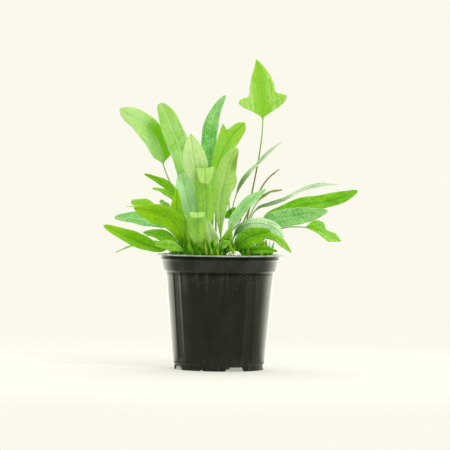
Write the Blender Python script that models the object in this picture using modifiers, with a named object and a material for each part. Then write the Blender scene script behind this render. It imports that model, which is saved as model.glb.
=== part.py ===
# Potted blue star fern: a thin nursery pot, its potting mix, three creeping rhizomes and the fronds.
# Lengths are typed in millimetres and turned to metres where the meshes are made.
# +X is to the viewer's right, +Y is away from the viewer, +Z is up.
# The origin is the middle of the pot's foot.

import math

import bmesh
import bpy
from mathutils import Matrix, Vector

MM = 0.001
MERGE = 0.00001

# Pot, from the rim down
RIM_HEIGHT = 100.0
FLANGE_RADIUS = 55.0
FLANGE_THICK = 1.1
COLLAR_TOP_RADIUS = 51.7
COLLAR_LOW_RADIUS = 49.6
COLLAR_LOW_HEIGHT = 86.0
STEP_RADIUS = 48.9
STEP_HEIGHT = 84.9
BODY_TOP_RADIUS = 47.0
BODY_TOP_HEIGHT = 84.4
BODY_LOW_RADIUS = 40.2
BODY_LOW_HEIGHT = 6.0
FOOT_RADIUS = 38.9
FOOT_TOP = 5.0
WALL = 1.2
FLOOR_UNDER = 4.2
FLOOR_THICK = 1.2
PAD_RADIUS = 10.0
CHAMFER = 0.3
POT_SIDES = 48

# Openings round the foot and flutes in the body: angles run from the front towards +X
QUARTER = 90.0
NOTCH_FIRST = 21.5
NOTCH_HALF_ANGLE = 12.0
NOTCH_HEIGHT = 3.5
NICK_FIRST = -22.5
NICK_HALF_ANGLE = 2.0
NICK_HEIGHT = 1.0
NOTCH_SLOPE = 0.75
NOTCH_CUT_DEPTH = 8.0
NOTCH_CUT_BELOW = 1.0
DRAIN_COUNT = 8
DRAIN_RADIUS = 3.0
DRAIN_CIRCLE = 24.0
DRAIN_SIDES = 10
DRAIN_CUT_LENGTH = 7.2
FLUTE_FIRST = -53.0
FLUTE_WIDTH = 9.2
FLUTE_DEPTH = 0.55
FLUTE_LOW = 9.0
FLUTE_HIGH = 83.0
FLUTE_CUT_THICK = 4.0

# Potting mix
GAP = 0.3
SOIL_TOP = 90.0
SOIL_CROWN = 1.0
SOIL_BOTTOM = FLOOR_UNDER + FLOOR_THICK + GAP
HOLE_FLOOR = 79.5
STIPE_FOOT = 80.0
STIPE_CLEAR = 92.5
HOLE_SIDES = 8
HOLE_CUT_OVER = 4.0

# Creeping rhizomes, half sunk in the mix: x and y along each of them
RHIZOME_RADIUS = 3.6
RHIZOME_HEIGHT = SOIL_TOP + 1.2
RHIZOME_END = 0.6
RHIZOMES = {
    "front": [(-37, -18), (-24, -14), (-12, -17), (0, -13.5), (13, -17), (25, -13.5), (37, -16)],
    "back": [(-36, 11.5), (-24, 15.5), (-12, 12), (0, 15.5), (13, 12), (25, 16), (36, 13)],
    "far": [(-25, 31), (-13, 34.5), (0, 31.5), (13, 34.5), (25, 31)],
}
SLOT_FIRST = -33.0
SLOT_STEP = 7.2
SLOT_ASIDE = 6.4

# Crozier: a young frond, still coiled
CROZIER_SLOT = ("front", 7, -1)
CROZIER_RADIUS = 0.9
CROZIER_RISE = 100.0
COIL_RADIUS = 3.4
COIL_INNER = 1.5
COIL_TURNS = 1.3
COIL_STEPS = 16
COIL_THINNING = 0.35
TUBE_ROUNDNESS = 1

# Fronds
STIPE_RADIUS = 1.0
NECK_RADIUS = 0.6
TIP_HALF = 0.5
BLADE_THICK = 0.7
RIB_OVER = 0.15
RIB_UNDER = 0.5
NECK_SHARE = 0.12
STIPE_STEP = 22.0
BLADE_STEP = 5.0
FEWEST_STEPS = 6
MOST_STEPS = 14
TIP_SHARE = 0.35
RIPPLE_LAG = 1.3
PATH_STEPS = 24

# Colours of the pieces
BLACK = (0.018, 0.020, 0.017)
MIX_BROWN = (0.055, 0.034, 0.020)
RHIZOME_GOLD = (0.36, 0.19, 0.06)
GREENS = {
    "pale": (0.46, 0.72, 0.24),
    "fresh": (0.26, 0.58, 0.10),
    "blue": (0.20, 0.50, 0.22),
    "deep": (0.09, 0.33, 0.06),
    "yellow": (0.31, 0.57, 0.05),
    "olive": (0.24, 0.22, 0.07),
}

# Outlines that are lobed, drawn out or broad at the foot: the place along the blade, then its half
# width on the left and on the right of the rib
THREE_LOBED = [
    (0.00, 0.8, 0.8), (0.06, 2.2, 2.4), (0.11, 4.8, 5.0), (0.155, 8.8, 8.8), (0.195, 13.4, 12.8),
    (0.235, 17.0, 16.2), (0.27, 19.2, 18.8), (0.305, 20.4, 20.4), (0.335, 20.6, 21.4), (0.362, 19.8, 22.0),
    (0.385, 17.6, 21.8), (0.402, 14.2, 20.4), (0.418, 11.4, 17.4), (0.438, 10.8, 13.4), (0.47, 10.6, 12.2),
    (0.56, 9.8, 12.0), (0.66, 8.4, 10.8), (0.76, 6.5, 8.8), (0.87, 3.8, 5.6), (0.945, 1.9, 2.8),
    (1.00, 0.5, 0.5),
]
MITTEN = [
    (0.00, 0.8, 0.8), (0.08, 2.8, 2.6), (0.18, 4.8, 4.6), (0.30, 6.2, 6.2), (0.42, 7.6, 7.2),
    (0.52, 9.6, 7.8), (0.60, 11.6, 8.2), (0.67, 12.9, 8.2), (0.72, 8.6, 8.0), (0.78, 6.6, 7.8),
    (0.87, 5.6, 6.6), (0.95, 3.8, 4.6), (1.00, 0.8, 0.8),
]
SIDE_LOBED = [
    (0.00, 0.8, 0.8), (0.07, 3.4, 3.4), (0.16, 6.2, 6.4), (0.28, 8.2, 8.8), (0.40, 9.6, 9.8),
    (0.52, 11.0, 10.0), (0.61, 11.6, 9.6), (0.70, 10.4, 9.0), (0.79, 8.2, 7.6), (0.88, 5.8, 5.4),
    (0.95, 3.4, 3.2), (1.00, 0.5, 0.5),
]
BROAD_FOOT = [
    (0.00, 0.8, 0.8), (0.05, 3.6, 3.6), (0.10, 6.8, 6.8), (0.17, 9.0, 9.0), (0.28, 10.2, 10.2),
    (0.42, 10.6, 10.6), (0.58, 10.6, 10.4), (0.73, 9.8, 9.6), (0.85, 8.0, 7.6), (0.94, 5.0, 4.8),
    (1.00, 0.8, 0.8),
]
SPOON = [
    (0.00, 0.8, 0.8), (0.08, 1.7, 1.7), (0.17, 2.8, 2.8), (0.26, 4.6, 4.6), (0.36, 7.8, 7.8),
    (0.47, 10.2, 10.2), (0.58, 10.8, 10.8), (0.70, 9.8, 9.8), (0.82, 7.4, 7.4), (0.92, 4.2, 4.2),
    (1.00, 0.6, 0.6),
]
RIBBON = [
    (0.00, 0.8, 0.8), (0.08, 2.0, 2.0), (0.20, 2.6, 2.6), (0.34, 2.8, 2.8), (0.48, 2.9, 2.8),
    (0.62, 3.2, 3.0), (0.75, 3.3, 3.1), (0.87, 2.7, 2.5), (0.95, 1.7, 1.6), (1.00, 0.5, 0.5),
]
FORKED = [
    (0.00, 0.8, 0.8), (0.10, 4.0, 2.2), (0.22, 7.8, 3.6), (0.34, 9.8, 4.6), (0.43, 9.0, 5.4),
    (0.50, 5.6, 6.4), (0.62, 4.6, 7.6), (0.72, 4.8, 8.2), (0.80, 5.2, 5.6), (0.90, 3.2, 3.2),
    (1.00, 0.5, 0.5),
]


def frond(name, slot, colour, rib, blade, half, face, **more):
    """One entry of the frond list, with the usual values filled in."""
    entry = {"fold": 12.0, "wave": 0.8, "waves": 2.0, "lead": 0.0,
             "widest": 0.9, "blunt": 0.75, "outline": None}
    entry.update(more)
    entry.update(name=name, slot=slot, colour=colour, rib=rib, blade=blade, half=half, face=face)
    return entry


# A slot is a place beside a rhizome: its row, its number from the left, and its side. -1 is one
# step nearer the viewer than the rhizome, -2 is two steps nearer and 1 is one step further away.
# The rib's points are in millimetres. Then come the number of the point where the blade starts,
# half the blade's width, and the way that the blade's upper face looks at its base.
TOWARDS = (0.1, -1.0, 0.2)
AWAY = (0.0, 1.0, 0.1)
FRONDS = [
    frond("frond_left_yellow", ("front", 1, -1), "yellow",
          [(-33, -26, 111), (-36, -31, 122), (-43, -37, 131), (-54, -43, 136.5), (-64, -48, 138.5),
           (-74, -52, 140)],
          0, 9.5, (-0.1, -0.9, 0.5), outline=SIDE_LOBED, wave=0.6),
    frond("frond_rim_left", ("front", 2, -2), "fresh",
          [(-31, -33, 102), (-37, -38, 106), (-46, -43, 108), (-56, -47, 109)],
          0, 4.8, (0.0, -0.8, 0.6), widest=1.1),
    frond("frond_front_fold", ("front", 3, -2), "fresh",
          [(-19, -34, 104), (-19, -38, 114), (-20, -41, 126), (-20, -45, 134), (-20, -50, 136),
           (-19, -53, 132)],
          0, 8.4, AWAY, widest=1.1, fold=6, wave=0.5, blunt=0.12),
    frond("frond_middle_pale", ("front", 5, 1), "pale",
          [(-9, -10, 120), (-14, -15, 148), (-18, -20, 164), (-22, -24, 176), (-24.5, -28, 190),
           (-26.5, -31, 204)],
          1, 10.6, TOWARDS, outline=SPOON, fold=8, wave=0.7),
    frond("frond_small_pale", ("front", 5, -1), "pale",
          [(-4, -25, 103), (-6.5, -28, 112), (-9, -31, 121), (-11.5, -33, 130)],
          0, 5.4, TOWARDS, widest=0.9),
    frond("frond_right_arch", ("front", 6, -1), "blue",
          [(8, -23, 104), (11, -25, 113), (15, -28, 122), (25, -33, 127), (37, -38, 127),
           (48, -43, 123), (54, -45, 116)],
          1, 6.8, (-0.8, -0.6, 0.3), fold=-14, wave=0.4, widest=1.0, blunt=0.6),
    frond("frond_right_inner", ("front", 7, -2), "deep",
          [(13, -31, 103), (18, -38, 111), (29, -45, 117.5), (43, -50, 121)],
          0, 7.8, (-0.3, -1.0, 0.3), widest=1.0, blunt=0.6),
    frond("frond_rim_right", ("front", 8, -1), "deep",
          [(19, -27, 102), (28, -34, 104), (38, -40, 105.5), (49, -46, 104)],
          0, 3.9, (0.0, -0.8, 0.6)),
    frond("frond_right_droop", ("front", 9, -1), "fresh",
          [(26, -22, 106), (31, -24, 115), (38, -27, 117), (47, -31, 115), (55, -35, 109), (61, -38, 103)],
          1, 4.2, (-0.3, -0.6, 0.8)),
    frond("frond_left_low", ("front", 1, 1), "yellow",
          [(-42, -13, 104), (-54, -18, 105), (-66, -23, 109), (-79, -28, 114), (-90, -33, 119),
           (-100, -37, 124)],
          0, 7.8, (0.1, -0.8, 0.6), wave=0.5, waves=2, widest=1.0, blunt=0.6),
    frond("frond_left_blue", ("front", 2, 1), "blue",
          [(-36, -11, 112), (-46, -15, 122), (-56, -19, 127), (-69, -24, 130), (-80, -28, 131),
           (-91, -31, 131)],
          1, 6.6, (0.0, -0.8, 0.6), blunt=0.6),
    frond("frond_left_tall", ("back", 3, -1), "pale",
          [(-33, 8, 120), (-43, 9, 158), (-50, 10, 176), (-53, 11, 188), (-60, 13, 202),
           (-71, 15, 214), (-89, 19, 225)],
          2, 10.6, (0.2, -1.0, 0.3), outline=BROAD_FOOT, wave=1.0),
    frond("frond_left_broad", ("front", 4, 1), "blue",
          [(-19, -13, 112), (-24, -16, 132), (-28, -17, 146), (-31, -17, 157), (-33.5, -17, 170)],
          0, 10.8, TOWARDS, widest=1.0, blunt=0.4, fold=8),
    frond("frond_middle_arched", ("front", 4, -1), "pale",
          [(-11, -21, 112), (-12, -21, 130), (-12, -22, 150), (-13, -25, 166), (-13.5, -30, 174),
           (-13.5, -36, 172), (-13.5, -39, 161)],
          0, 9.6, AWAY, widest=1.25, fold=6, wave=0.4, blunt=0.3),
    frond("frond_right_broad", ("front", 6, 1), "fresh",
          [(1, -12, 110), (0, -15, 131), (1, -17, 149), (4, -20, 167), (8, -23, 182), (14, -26, 192)],
          0, 9.0, (-0.2, -1.0, 0.1), widest=1.6, blunt=0.6),
    frond("frond_right_pale", ("front", 7, 1), "pale",
          [(9, -9, 114), (10, -9, 126), (17, -10, 137), (25, -12, 146), (34, -14, 153), (39, -15, 157)],
          0, 5.4, (-0.4, -1.0, 0.4), widest=1.1),
    frond("frond_right_yellow", ("front", 8, 1), "yellow",
          [(20, -12, 103), (28, -15, 111), (40, -18, 110)],
          0, 3.4, (-0.3, -0.6, 0.8)),
    frond("frond_right_blue", ("front", 9, 1), "blue",
          [(29, -12, 119), (40, -16, 128), (56, -21, 132), (69, -25, 134), (81, -29, 136), (92, -33, 139)],
          0, 8.2, (-0.2, -0.9, 0.5), blunt=0.6, widest=1.0),
    frond("frond_right_big", ("front", 10, 1), "deep",
          [(34, -6, 118), (40, -4, 132), (56, -1, 139), (73, 2, 143), (90, 5, 146), (105, 9, 150),
           (119, 13, 156)],
          0, 7.8, (-0.2, -0.8, 0.6), widest=1.35, blunt=0.55, wave=1.0, waves=3),
    frond("frond_left_thin", ("back", 1, -1), "fresh",
          [(-41, 6, 106), (-53, 7, 110), (-66, 8, 109), (-79, 9, 105), (-91, 9, 100)],
          1, 4.2, (0.0, -0.1, 1.0)),
    frond("frond_left_round", ("back", 2, -1), "fresh",
          [(-38, 7, 120), (-53, 8, 136), (-64, 9, 142), (-78, 10, 144)],
          1, 4.6, (0.15, -0.9, 0.4), blunt=0.35, widest=1.1),
    frond("frond_left_upright", ("front", 3, 1), "fresh",
          [(-29, -7, 119), (-32, -6, 146), (-33, -6, 167), (-36, -5, 188), (-44, -4, 210), (-49, -2, 222),
           (-54, 0, 230)],
          1, 9.8, (0.15, -1.0, 0.1), wave=1.3, waves=3.5, widest=1.5, blunt=0.45),
    frond("frond_left_narrow", ("back", 4, -1), "deep",
          [(-20, 6, 112), (-28, 4, 133), (-34, 3, 146), (-38, 2, 157)],
          0, 4.6, TOWARDS),
    frond("frond_middle_blue", ("back", 5, -1), "blue",
          [(-8, 8, 134), (-10, 9, 168), (-11, 10, 186), (-10, 12, 203), (-7, 15, 219), (-2, 18, 230),
           (3, 21, 238)],
          0, 7.2, (-0.2, -1.0, 0.0), wave=1.3, waves=3.5, fold=14, widest=1.4),
    frond("frond_right_forked", ("back", 6, -1), "fresh",
          [(-1, 4, 130), (-4, -1, 165), (-2, -3, 181), (3, -4, 193), (11, -6, 205), (20, -8, 214)],
          1, 7.6, TOWARDS, outline=MITTEN, wave=0.5, lead=11.0),
    frond("frond_right_edge_on", ("back", 7, -1), "blue",
          [(9, 9, 121), (13, 10, 150), (18, 12, 161), (25, 14, 171), (34, 17, 180), (43, 20, 190),
           (53, 23, 198)],
          1, 4.0, (-0.7, -0.5, 0.6), wave=0.4, widest=0.8),
    frond("frond_tall_lobed", ("back", 8, -1), "pale",
          [(19, 10, 112), (24, 14, 134), (27, 18, 152), (31, 23, 173), (34, 27, 191), (36, 30, 216),
           (35, 32, 236), (33, 33, 253), (30, 34, 270)],
          5, 11.4, (0.0, -1.0, 0.1), outline=THREE_LOBED, wave=0.3, fold=6),
    frond("frond_right_long", ("back", 9, -1), "pale",
          [(26, 11, 124), (28, 12, 135), (33, 13, 140), (42, 15, 143), (56, 18, 148), (64, 20, 152.5),
           (78, 24, 158.5), (90, 27, 161), (102, 30, 161)],
          1, 3.3, (-0.2, -0.45, 0.9), outline=RIBBON, wave=0.4),
    frond("frond_right_forked_low", ("back", 10, -1), "fresh",
          [(40, 7, 116), (54, 6, 123), (73, 4, 124), (82, 4, 123), (92, 4, 118), (105, 4, 112)],
          2, 6.0, (-0.2, -0.7, 0.7), outline=FORKED, wave=0.4),
    frond("frond_left_dark", ("back", 1, 1), "deep",
          [(-38, 18, 107), (-46, 19, 113), (-64, 21, 115)],
          1, 3.2, (0.0, -0.3, 1.0)),
    frond("frond_left_edge", ("back", 2, 1), "pale",
          [(-34, 22, 118), (-53, 26, 135), (-66, 29, 139), (-83, 32, 140)],
          1, 4.2, (0.1, -0.15, 1.0)),
    frond("frond_left_side", ("back", 3, 1), "yellow",
          [(-29, 23, 124), (-37, 28, 143), (-47, 33, 152), (-60, 38, 156)],
          1, 5.8, (0.3, -0.6, 0.9), widest=0.75, wave=0.5),
    frond("frond_left_pointed", ("back", 4, 1), "yellow",
          [(-27, 20, 124), (-36, 22, 148), (-46, 24, 158), (-56, 26, 163.5), (-67, 29, 168.5)],
          1, 4.6, (0.3, -0.8, 0.6), widest=0.8, wave=0.3),
    frond("frond_left_behind", ("back", 5, 1), "pale",
          [(-24, 15.5, 116), (-42, 14.5, 134), (-53, 14, 146)],
          1, 4.0, (0.3, -0.9, 0.5), blunt=0.5),
    frond("frond_small_dark", ("back", 6, 1), "deep",
          [(9, 19, 118), (18, 17, 131), (17, 15, 137), (3, 12, 132)],
          2, 4.3, (0.2, -1.0, 0.3), widest=0.9, blunt=0.6),
    frond("frond_right_wisp_high", ("back", 7, 1), "olive",
          [(18, 26, 122), (33, 32, 153), (41, 36, 165), (51, 40, 174)],
          1, 1.2, (-0.7, -0.5, 0.6), wave=0.1),
    frond("frond_right_wisp_low", ("back", 8, 1), "pale",
          [(24, 24, 128), (33, 27, 146), (42, 31, 153), (54, 36, 156)],
          1, 2.4, (-0.3, -0.5, 0.8), wave=0.3, blunt=0.5),
    frond("frond_left_inner", ("front", 2, -1), "yellow",
          [(-30, -22, 106), (-35, -22, 121), (-38, -23, 138), (-38, -24, 156)],
          0, 7.0, TOWARDS, widest=0.75, wave=0.9),
    frond("frond_left_front", ("front", 3, -1), "fresh",
          [(-21, -26, 103), (-23, -27, 113), (-25, -27, 125), (-26, -26, 138)],
          0, 5.8, TOWARDS, widest=0.8),
    frond("frond_left_fill", ("front", 1, -2), "deep",
          [(-37.5, -29, 104), (-43, -29, 112), (-54, -31, 117), (-66, -35, 118.5)],
          0, 5.6, (0.1, -0.8, 0.6), widest=0.75),
    frond("frond_centre_right", ("front", 6, -2), "fresh",
          [(4, -31, 102), (6, -33, 113), (9, -35, 124)],
          0, 5.0, TOWARDS, widest=0.8),
    frond("frond_back_right_low", ("back", 9, 1), "fresh",
          [(29, 24, 112), (48, 30, 127), (66, 36, 133), (82, 40, 132)],
          1, 6.4, (0.0, 0.2, 1.0)),
    frond("frond_back_inner", ("far", 5, -1), "blue",
          [(-4, 27, 130), (-5, 27, 158), (-6, 29, 178), (-4, 32, 196)],
          1, 6.8, (0.1, -1.0, 0.0)),
    frond("frond_back_left_tall", ("far", 3, -1), "fresh",
          [(-21, 32, 128), (-26, 38, 152), (-31, 45, 168), (-36, 55, 176)],
          1, 8.4, (0.1, -1.0, 0.3)),
    frond("frond_back_right_tall", ("far", 7, -1), "pale",
          [(8, 32, 128), (7, 38, 150), (6, 47, 166), (4, 60, 172)],
          1, 8.0, (-0.1, -1.0, 0.3)),
    frond("frond_back_middle", ("far", 5, 1), "fresh",
          [(-4, 46, 118), (-5, 56, 138), (-6, 70, 149), (-8, 88, 150)],
          1, 8.6, (0.0, -0.8, 0.6), wave=1.0),
    frond("frond_back_left", ("far", 3, 1), "blue",
          [(-24, 47, 112), (-33, 58, 124), (-44, 70, 129), (-56, 82, 126)],
          1, 7.4, (0.3, -0.6, 0.8)),
    frond("frond_back_right", ("far", 7, 1), "fresh",
          [(18, 48, 110), (30, 62, 119), (41, 76, 121), (52, 90, 116)],
          1, 7.6, (-0.3, -0.6, 0.8), wave=1.0),
    frond("frond_back_low", ("far", 6, 1), "pale",
          [(4, 50, 104), (5, 64, 110), (5, 80, 109), (6, 95, 102)],
          1, 6.4, (0.0, -0.3, 1.0)),
    frond("frond_back_side", ("far", 2, -1), "fresh",
          [(-34, 32, 112), (-47, 38, 126), (-60, 44, 132), (-74, 50, 132)],
          1, 6.0, (0.2, -0.3, 1.0)),
    frond("frond_middle_low", ("front", 4, -2), "fresh",
          [(-13, -31, 102), (-15, -32, 111), (-17, -32, 121)],
          0, 4.2, TOWARDS, widest=0.9),
    frond("frond_middle_behind", ("far", 4, -1), "deep",
          [(-12, 25, 106), (-15, 24, 130), (-17, 23, 154), (-16, 23, 176)],
          0, 9.4, TOWARDS, widest=0.8, wave=1.0),
    frond("frond_centre_low", ("front", 5, -2), "fresh",
          [(-3, -33, 102), (2, -37, 108), (9, -40, 112)],
          0, 4.0, (-0.2, -0.9, 0.5), widest=0.9),
]


def finish(name, colour, roughness):
    """A plain Principled material in one colour."""
    material = bpy.data.materials.new(name)
    material.use_nodes = True
    shader = material.node_tree.nodes["Principled BSDF"]
    shader.inputs["Base Color"].default_value = (*colour, 1.0)
    shader.inputs["Roughness"].default_value = roughness
    shader.inputs["Metallic"].default_value = 0.0
    material.diffuse_color = (*colour, 1.0)
    return material


def add_object(name, mesh, collection, material=None):
    """Puts a mesh in a collection as a named object."""
    piece = bpy.data.objects.new(name, mesh)
    collection.objects.link(piece)
    if material:
        mesh.materials.append(material)
    return piece


def add_cutter(name, bm, collection):
    """Turns a bmesh into a cutter that stays out of the render."""
    mesh = bpy.data.meshes.new(name)
    bm.to_mesh(mesh)
    bm.free()
    cutter = add_object(name, mesh, collection)
    cutter.hide_render = True
    cutter.display_type = "WIRE"
    return cutter


def new_collection(name):
    """A collection in the scene; its name is the name of what it holds."""
    collection = bpy.data.collections.new(name)
    bpy.context.scene.collection.children.link(collection)
    return collection


def around(angle):
    """The turn about the pot's axis that brings the front to an angle, in degrees."""
    return Matrix.Rotation(math.radians(angle), 4, "Z")


def turned(name, profile, sides, collection, material):
    """A solid of revolution: the profile runs down the outside and back to the axis inside."""
    bm = bmesh.new()
    verts = [bm.verts.new((radius * MM, 0.0, height * MM)) for radius, height in profile]
    for first, second in zip(verts, verts[1:]):
        bm.edges.new((first, second))
    mesh = bpy.data.meshes.new(name)
    bm.to_mesh(mesh)
    bm.free()
    piece = add_object(name, mesh, collection, material)
    screw = piece.modifiers.new("turn", "SCREW")
    screw.steps = sides
    screw.render_steps = sides
    screw.use_merge_vertices = True
    screw.merge_threshold = MERGE
    return piece


def cut_with(piece, cutters):
    """Cuts every object of a collection out of a piece."""
    cut = piece.modifiers.new("cut", "BOOLEAN")
    cut.operation = "DIFFERENCE"
    cut.operand_type = "COLLECTION"
    cut.collection = cutters
    cut.solver = "EXACT"


def wall_radius(height):
    """Outer radius of the tapered body at a height."""
    share = (height - BODY_LOW_HEIGHT) / (BODY_TOP_HEIGHT - BODY_LOW_HEIGHT)
    return BODY_LOW_RADIUS + share * (BODY_TOP_RADIUS - BODY_LOW_RADIUS)


def notch_cutter(name, angle, half_angle, height, collection):
    """A wedge with sloped sides that opens the foot ring."""
    half = FOOT_RADIUS * math.sin(math.radians(half_angle))
    bm = bmesh.new()
    bmesh.ops.create_cube(bm, size=1.0)
    for vert in bm.verts:
        slope = NOTCH_SLOPE if vert.co.z > 0 else 1.0
        vert.co = Vector((
            2 * half * slope * vert.co.x,
            -FOOT_RADIUS - NOTCH_CUT_DEPTH * vert.co.y,
            height if vert.co.z > 0 else -NOTCH_CUT_BELOW,
        )) * MM
    bmesh.ops.recalc_face_normals(bm, faces=bm.faces[:])
    bmesh.ops.transform(bm, matrix=around(angle), verts=bm.verts[:])
    return add_cutter(name, bm, collection)


def flute_cutter(name, angle, collection):
    """A flat slab that takes a shallow upright flute out of the tapered wall."""
    bm = bmesh.new()
    bmesh.ops.create_cube(bm, size=1.0)
    for vert in bm.verts:
        height = FLUTE_HIGH if vert.co.z > 0 else FLUTE_LOW
        inner = wall_radius(height) - FLUTE_DEPTH
        outward = 0.0 if vert.co.y > 0 else FLUTE_CUT_THICK
        vert.co = Vector((FLUTE_WIDTH * vert.co.x, -inner - outward, height)) * MM
    bmesh.ops.transform(bm, matrix=around(angle), verts=bm.verts[:])
    return add_cutter(name, bm, collection)


def drain_cutter(name, angle, collection):
    """A round hole through the floor."""
    bm = bmesh.new()
    place = Matrix.Translation(Vector((0.0, -DRAIN_CIRCLE, FLOOR_UNDER)) * MM)
    bmesh.ops.create_cone(
        bm, cap_ends=True, segments=DRAIN_SIDES, radius1=DRAIN_RADIUS * MM, radius2=DRAIN_RADIUS * MM,
        depth=DRAIN_CUT_LENGTH * MM, matrix=around(angle) @ place,
    )
    return add_cutter(name, bm, collection)


def make_pot(collection, cutters):
    """The pot: flange, collar, tapered body, foot ring and raised floor, all one moulding."""
    outside = [
        (FLANGE_RADIUS - CHAMFER, RIM_HEIGHT),
        (FLANGE_RADIUS, RIM_HEIGHT - CHAMFER),
        (FLANGE_RADIUS, RIM_HEIGHT - FLANGE_THICK),
        (COLLAR_TOP_RADIUS, RIM_HEIGHT - FLANGE_THICK - 0.1),
        (COLLAR_LOW_RADIUS, COLLAR_LOW_HEIGHT),
        (STEP_RADIUS, STEP_HEIGHT),
        (BODY_TOP_RADIUS, BODY_TOP_HEIGHT),
        (BODY_LOW_RADIUS, BODY_LOW_HEIGHT),
        (FOOT_RADIUS, FOOT_TOP),
        (FOOT_RADIUS - CHAMFER, 0.0),
        (FOOT_RADIUS - WALL - CHAMFER, 0.0),
        (FOOT_RADIUS - WALL, FLOOR_UNDER),
        (PAD_RADIUS + 1.0, FLOOR_UNDER),
        (PAD_RADIUS, 0.0),
        (0.0, 0.0),
    ]
    floor_top = FLOOR_UNDER + FLOOR_THICK
    inside = [
        (0.0, WALL),
        (PAD_RADIUS - WALL, WALL),
        (PAD_RADIUS - 0.2, floor_top),
        (BODY_LOW_RADIUS - WALL - 0.8, floor_top),
        (BODY_LOW_RADIUS - WALL, BODY_LOW_HEIGHT + 1.0),
        (BODY_TOP_RADIUS - WALL, BODY_TOP_HEIGHT),
        (STEP_RADIUS - WALL - 0.6, STEP_HEIGHT + 0.6),
        (COLLAR_LOW_RADIUS - WALL, COLLAR_LOW_HEIGHT + 0.6),
        (COLLAR_TOP_RADIUS - WALL, RIM_HEIGHT - CHAMFER),
        (COLLAR_TOP_RADIUS - WALL + CHAMFER, RIM_HEIGHT),
        (FLANGE_RADIUS - CHAMFER, RIM_HEIGHT),
    ]
    pot = turned("pot", outside + inside, POT_SIDES, collection, finish("black_plastic", BLACK, 0.35))
    for quarter in range(4):
        turn = quarter * QUARTER
        notch_cutter(f"notch_{quarter}", NOTCH_FIRST + turn, NOTCH_HALF_ANGLE, NOTCH_HEIGHT, cutters)
        notch_cutter(f"nick_{quarter}", NICK_FIRST + turn, NICK_HALF_ANGLE, NICK_HEIGHT, cutters)
        flute_cutter(f"flute_{quarter}", FLUTE_FIRST + turn, cutters)
    for number in range(DRAIN_COUNT):
        drain_cutter(f"drain_{number}", (number + 0.5) * 360.0 / DRAIN_COUNT, cutters)
    cut_with(pot, cutters)


def slot_place(slot):
    """The x and y, in millimetres, of a stipe's foot beside its rhizome."""
    row, number, side = slot
    x = SLOT_FIRST + SLOT_STEP * (number - 1)
    points = RHIZOMES[row]
    for (x0, y0), (x1, y1) in zip(points, points[1:]):
        if x <= x1:
            break
    y = y0 + (y1 - y0) * (x - x0) / (x1 - x0)
    return x, y + side * SLOT_ASIDE


def tube_mesh(name, points, radius, shares):
    """A round stem through points, as a closed mesh; shares thin it from point to point."""
    curve = bpy.data.curves.new(name, "CURVE")
    curve.dimensions = "3D"
    curve.bevel_depth = radius * MM
    curve.bevel_resolution = TUBE_ROUNDNESS
    curve.use_fill_caps = True
    spline = curve.splines.new("POLY")
    spline.points.add(len(points) - 1)
    for point, place, share in zip(spline.points, points, shares):
        point.co = (*(Vector(place) * MM), 1.0)
        point.radius = share
    guide = bpy.data.objects.new(name, curve)
    bpy.context.scene.collection.objects.link(guide)
    bpy.context.view_layer.update()
    evaluated = guide.evaluated_get(bpy.context.evaluated_depsgraph_get())
    mesh = bpy.data.meshes.new_from_object(evaluated)
    bpy.data.objects.remove(guide)
    bm = bmesh.new()
    bm.from_mesh(mesh)
    bmesh.ops.remove_doubles(bm, verts=bm.verts[:], dist=MERGE)
    bm.to_mesh(mesh)
    bm.free()
    mesh.materials.clear()
    return mesh


def rhizome_mesh(name, points, radius):
    """A wandering stem with narrow ends, at the height of the mix."""
    shares = [RHIZOME_END] + [1.0] * (len(points) - 2) + [RHIZOME_END]
    return tube_mesh(name, [(x, y, RHIZOME_HEIGHT) for x, y in points], radius, shares)


def make_crozier(collection):
    """A young frond, still coiled, that stands in its own hole."""
    x, y = slot_place(CROZIER_SLOT)
    points = [(x, y, STIPE_FOOT), (x, y, STIPE_CLEAR), (x, y, CROZIER_RISE)]
    for k in range(1, COIL_STEPS + 1):
        share = k / COIL_STEPS
        angle = math.tau * COIL_TURNS * share
        reach = COIL_RADIUS + (COIL_INNER - COIL_RADIUS) * share
        points.append((x + COIL_RADIUS - reach * math.cos(angle), y, CROZIER_RISE + reach * math.sin(angle)))
    shares = [1.0, 1.0, 1.0] + [1.0 - COIL_THINNING * k / COIL_STEPS for k in range(1, COIL_STEPS + 1)]
    mesh = tube_mesh("crozier", points, CROZIER_RADIUS, shares)
    mesh.shade_smooth()
    add_object("crozier", mesh, collection, finish("crozier", GREENS["yellow"], 0.6))


def make_rhizomes(collection, cutters):
    """The rhizomes, and a slightly fatter copy of each that cuts its bed in the mix."""
    gold = finish("golden_scales", RHIZOME_GOLD, 0.8)
    for row, points in RHIZOMES.items():
        mesh = rhizome_mesh(f"rhizome_{row}", points, RHIZOME_RADIUS)
        mesh.shade_smooth()
        add_object(f"rhizome_{row}", mesh, collection, gold)
        (x0, y0), (x1, y1) = points[0], points[-1]
        longer = [(x0 - GAP, y0)] + points[1:-1] + [(x1 + GAP, y1)]
        bed = add_object(f"bed_{row}", rhizome_mesh(f"bed_{row}", longer, RHIZOME_RADIUS + 2 * GAP), cutters)
        bed.hide_render = True
        bed.display_type = "WIRE"


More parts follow.
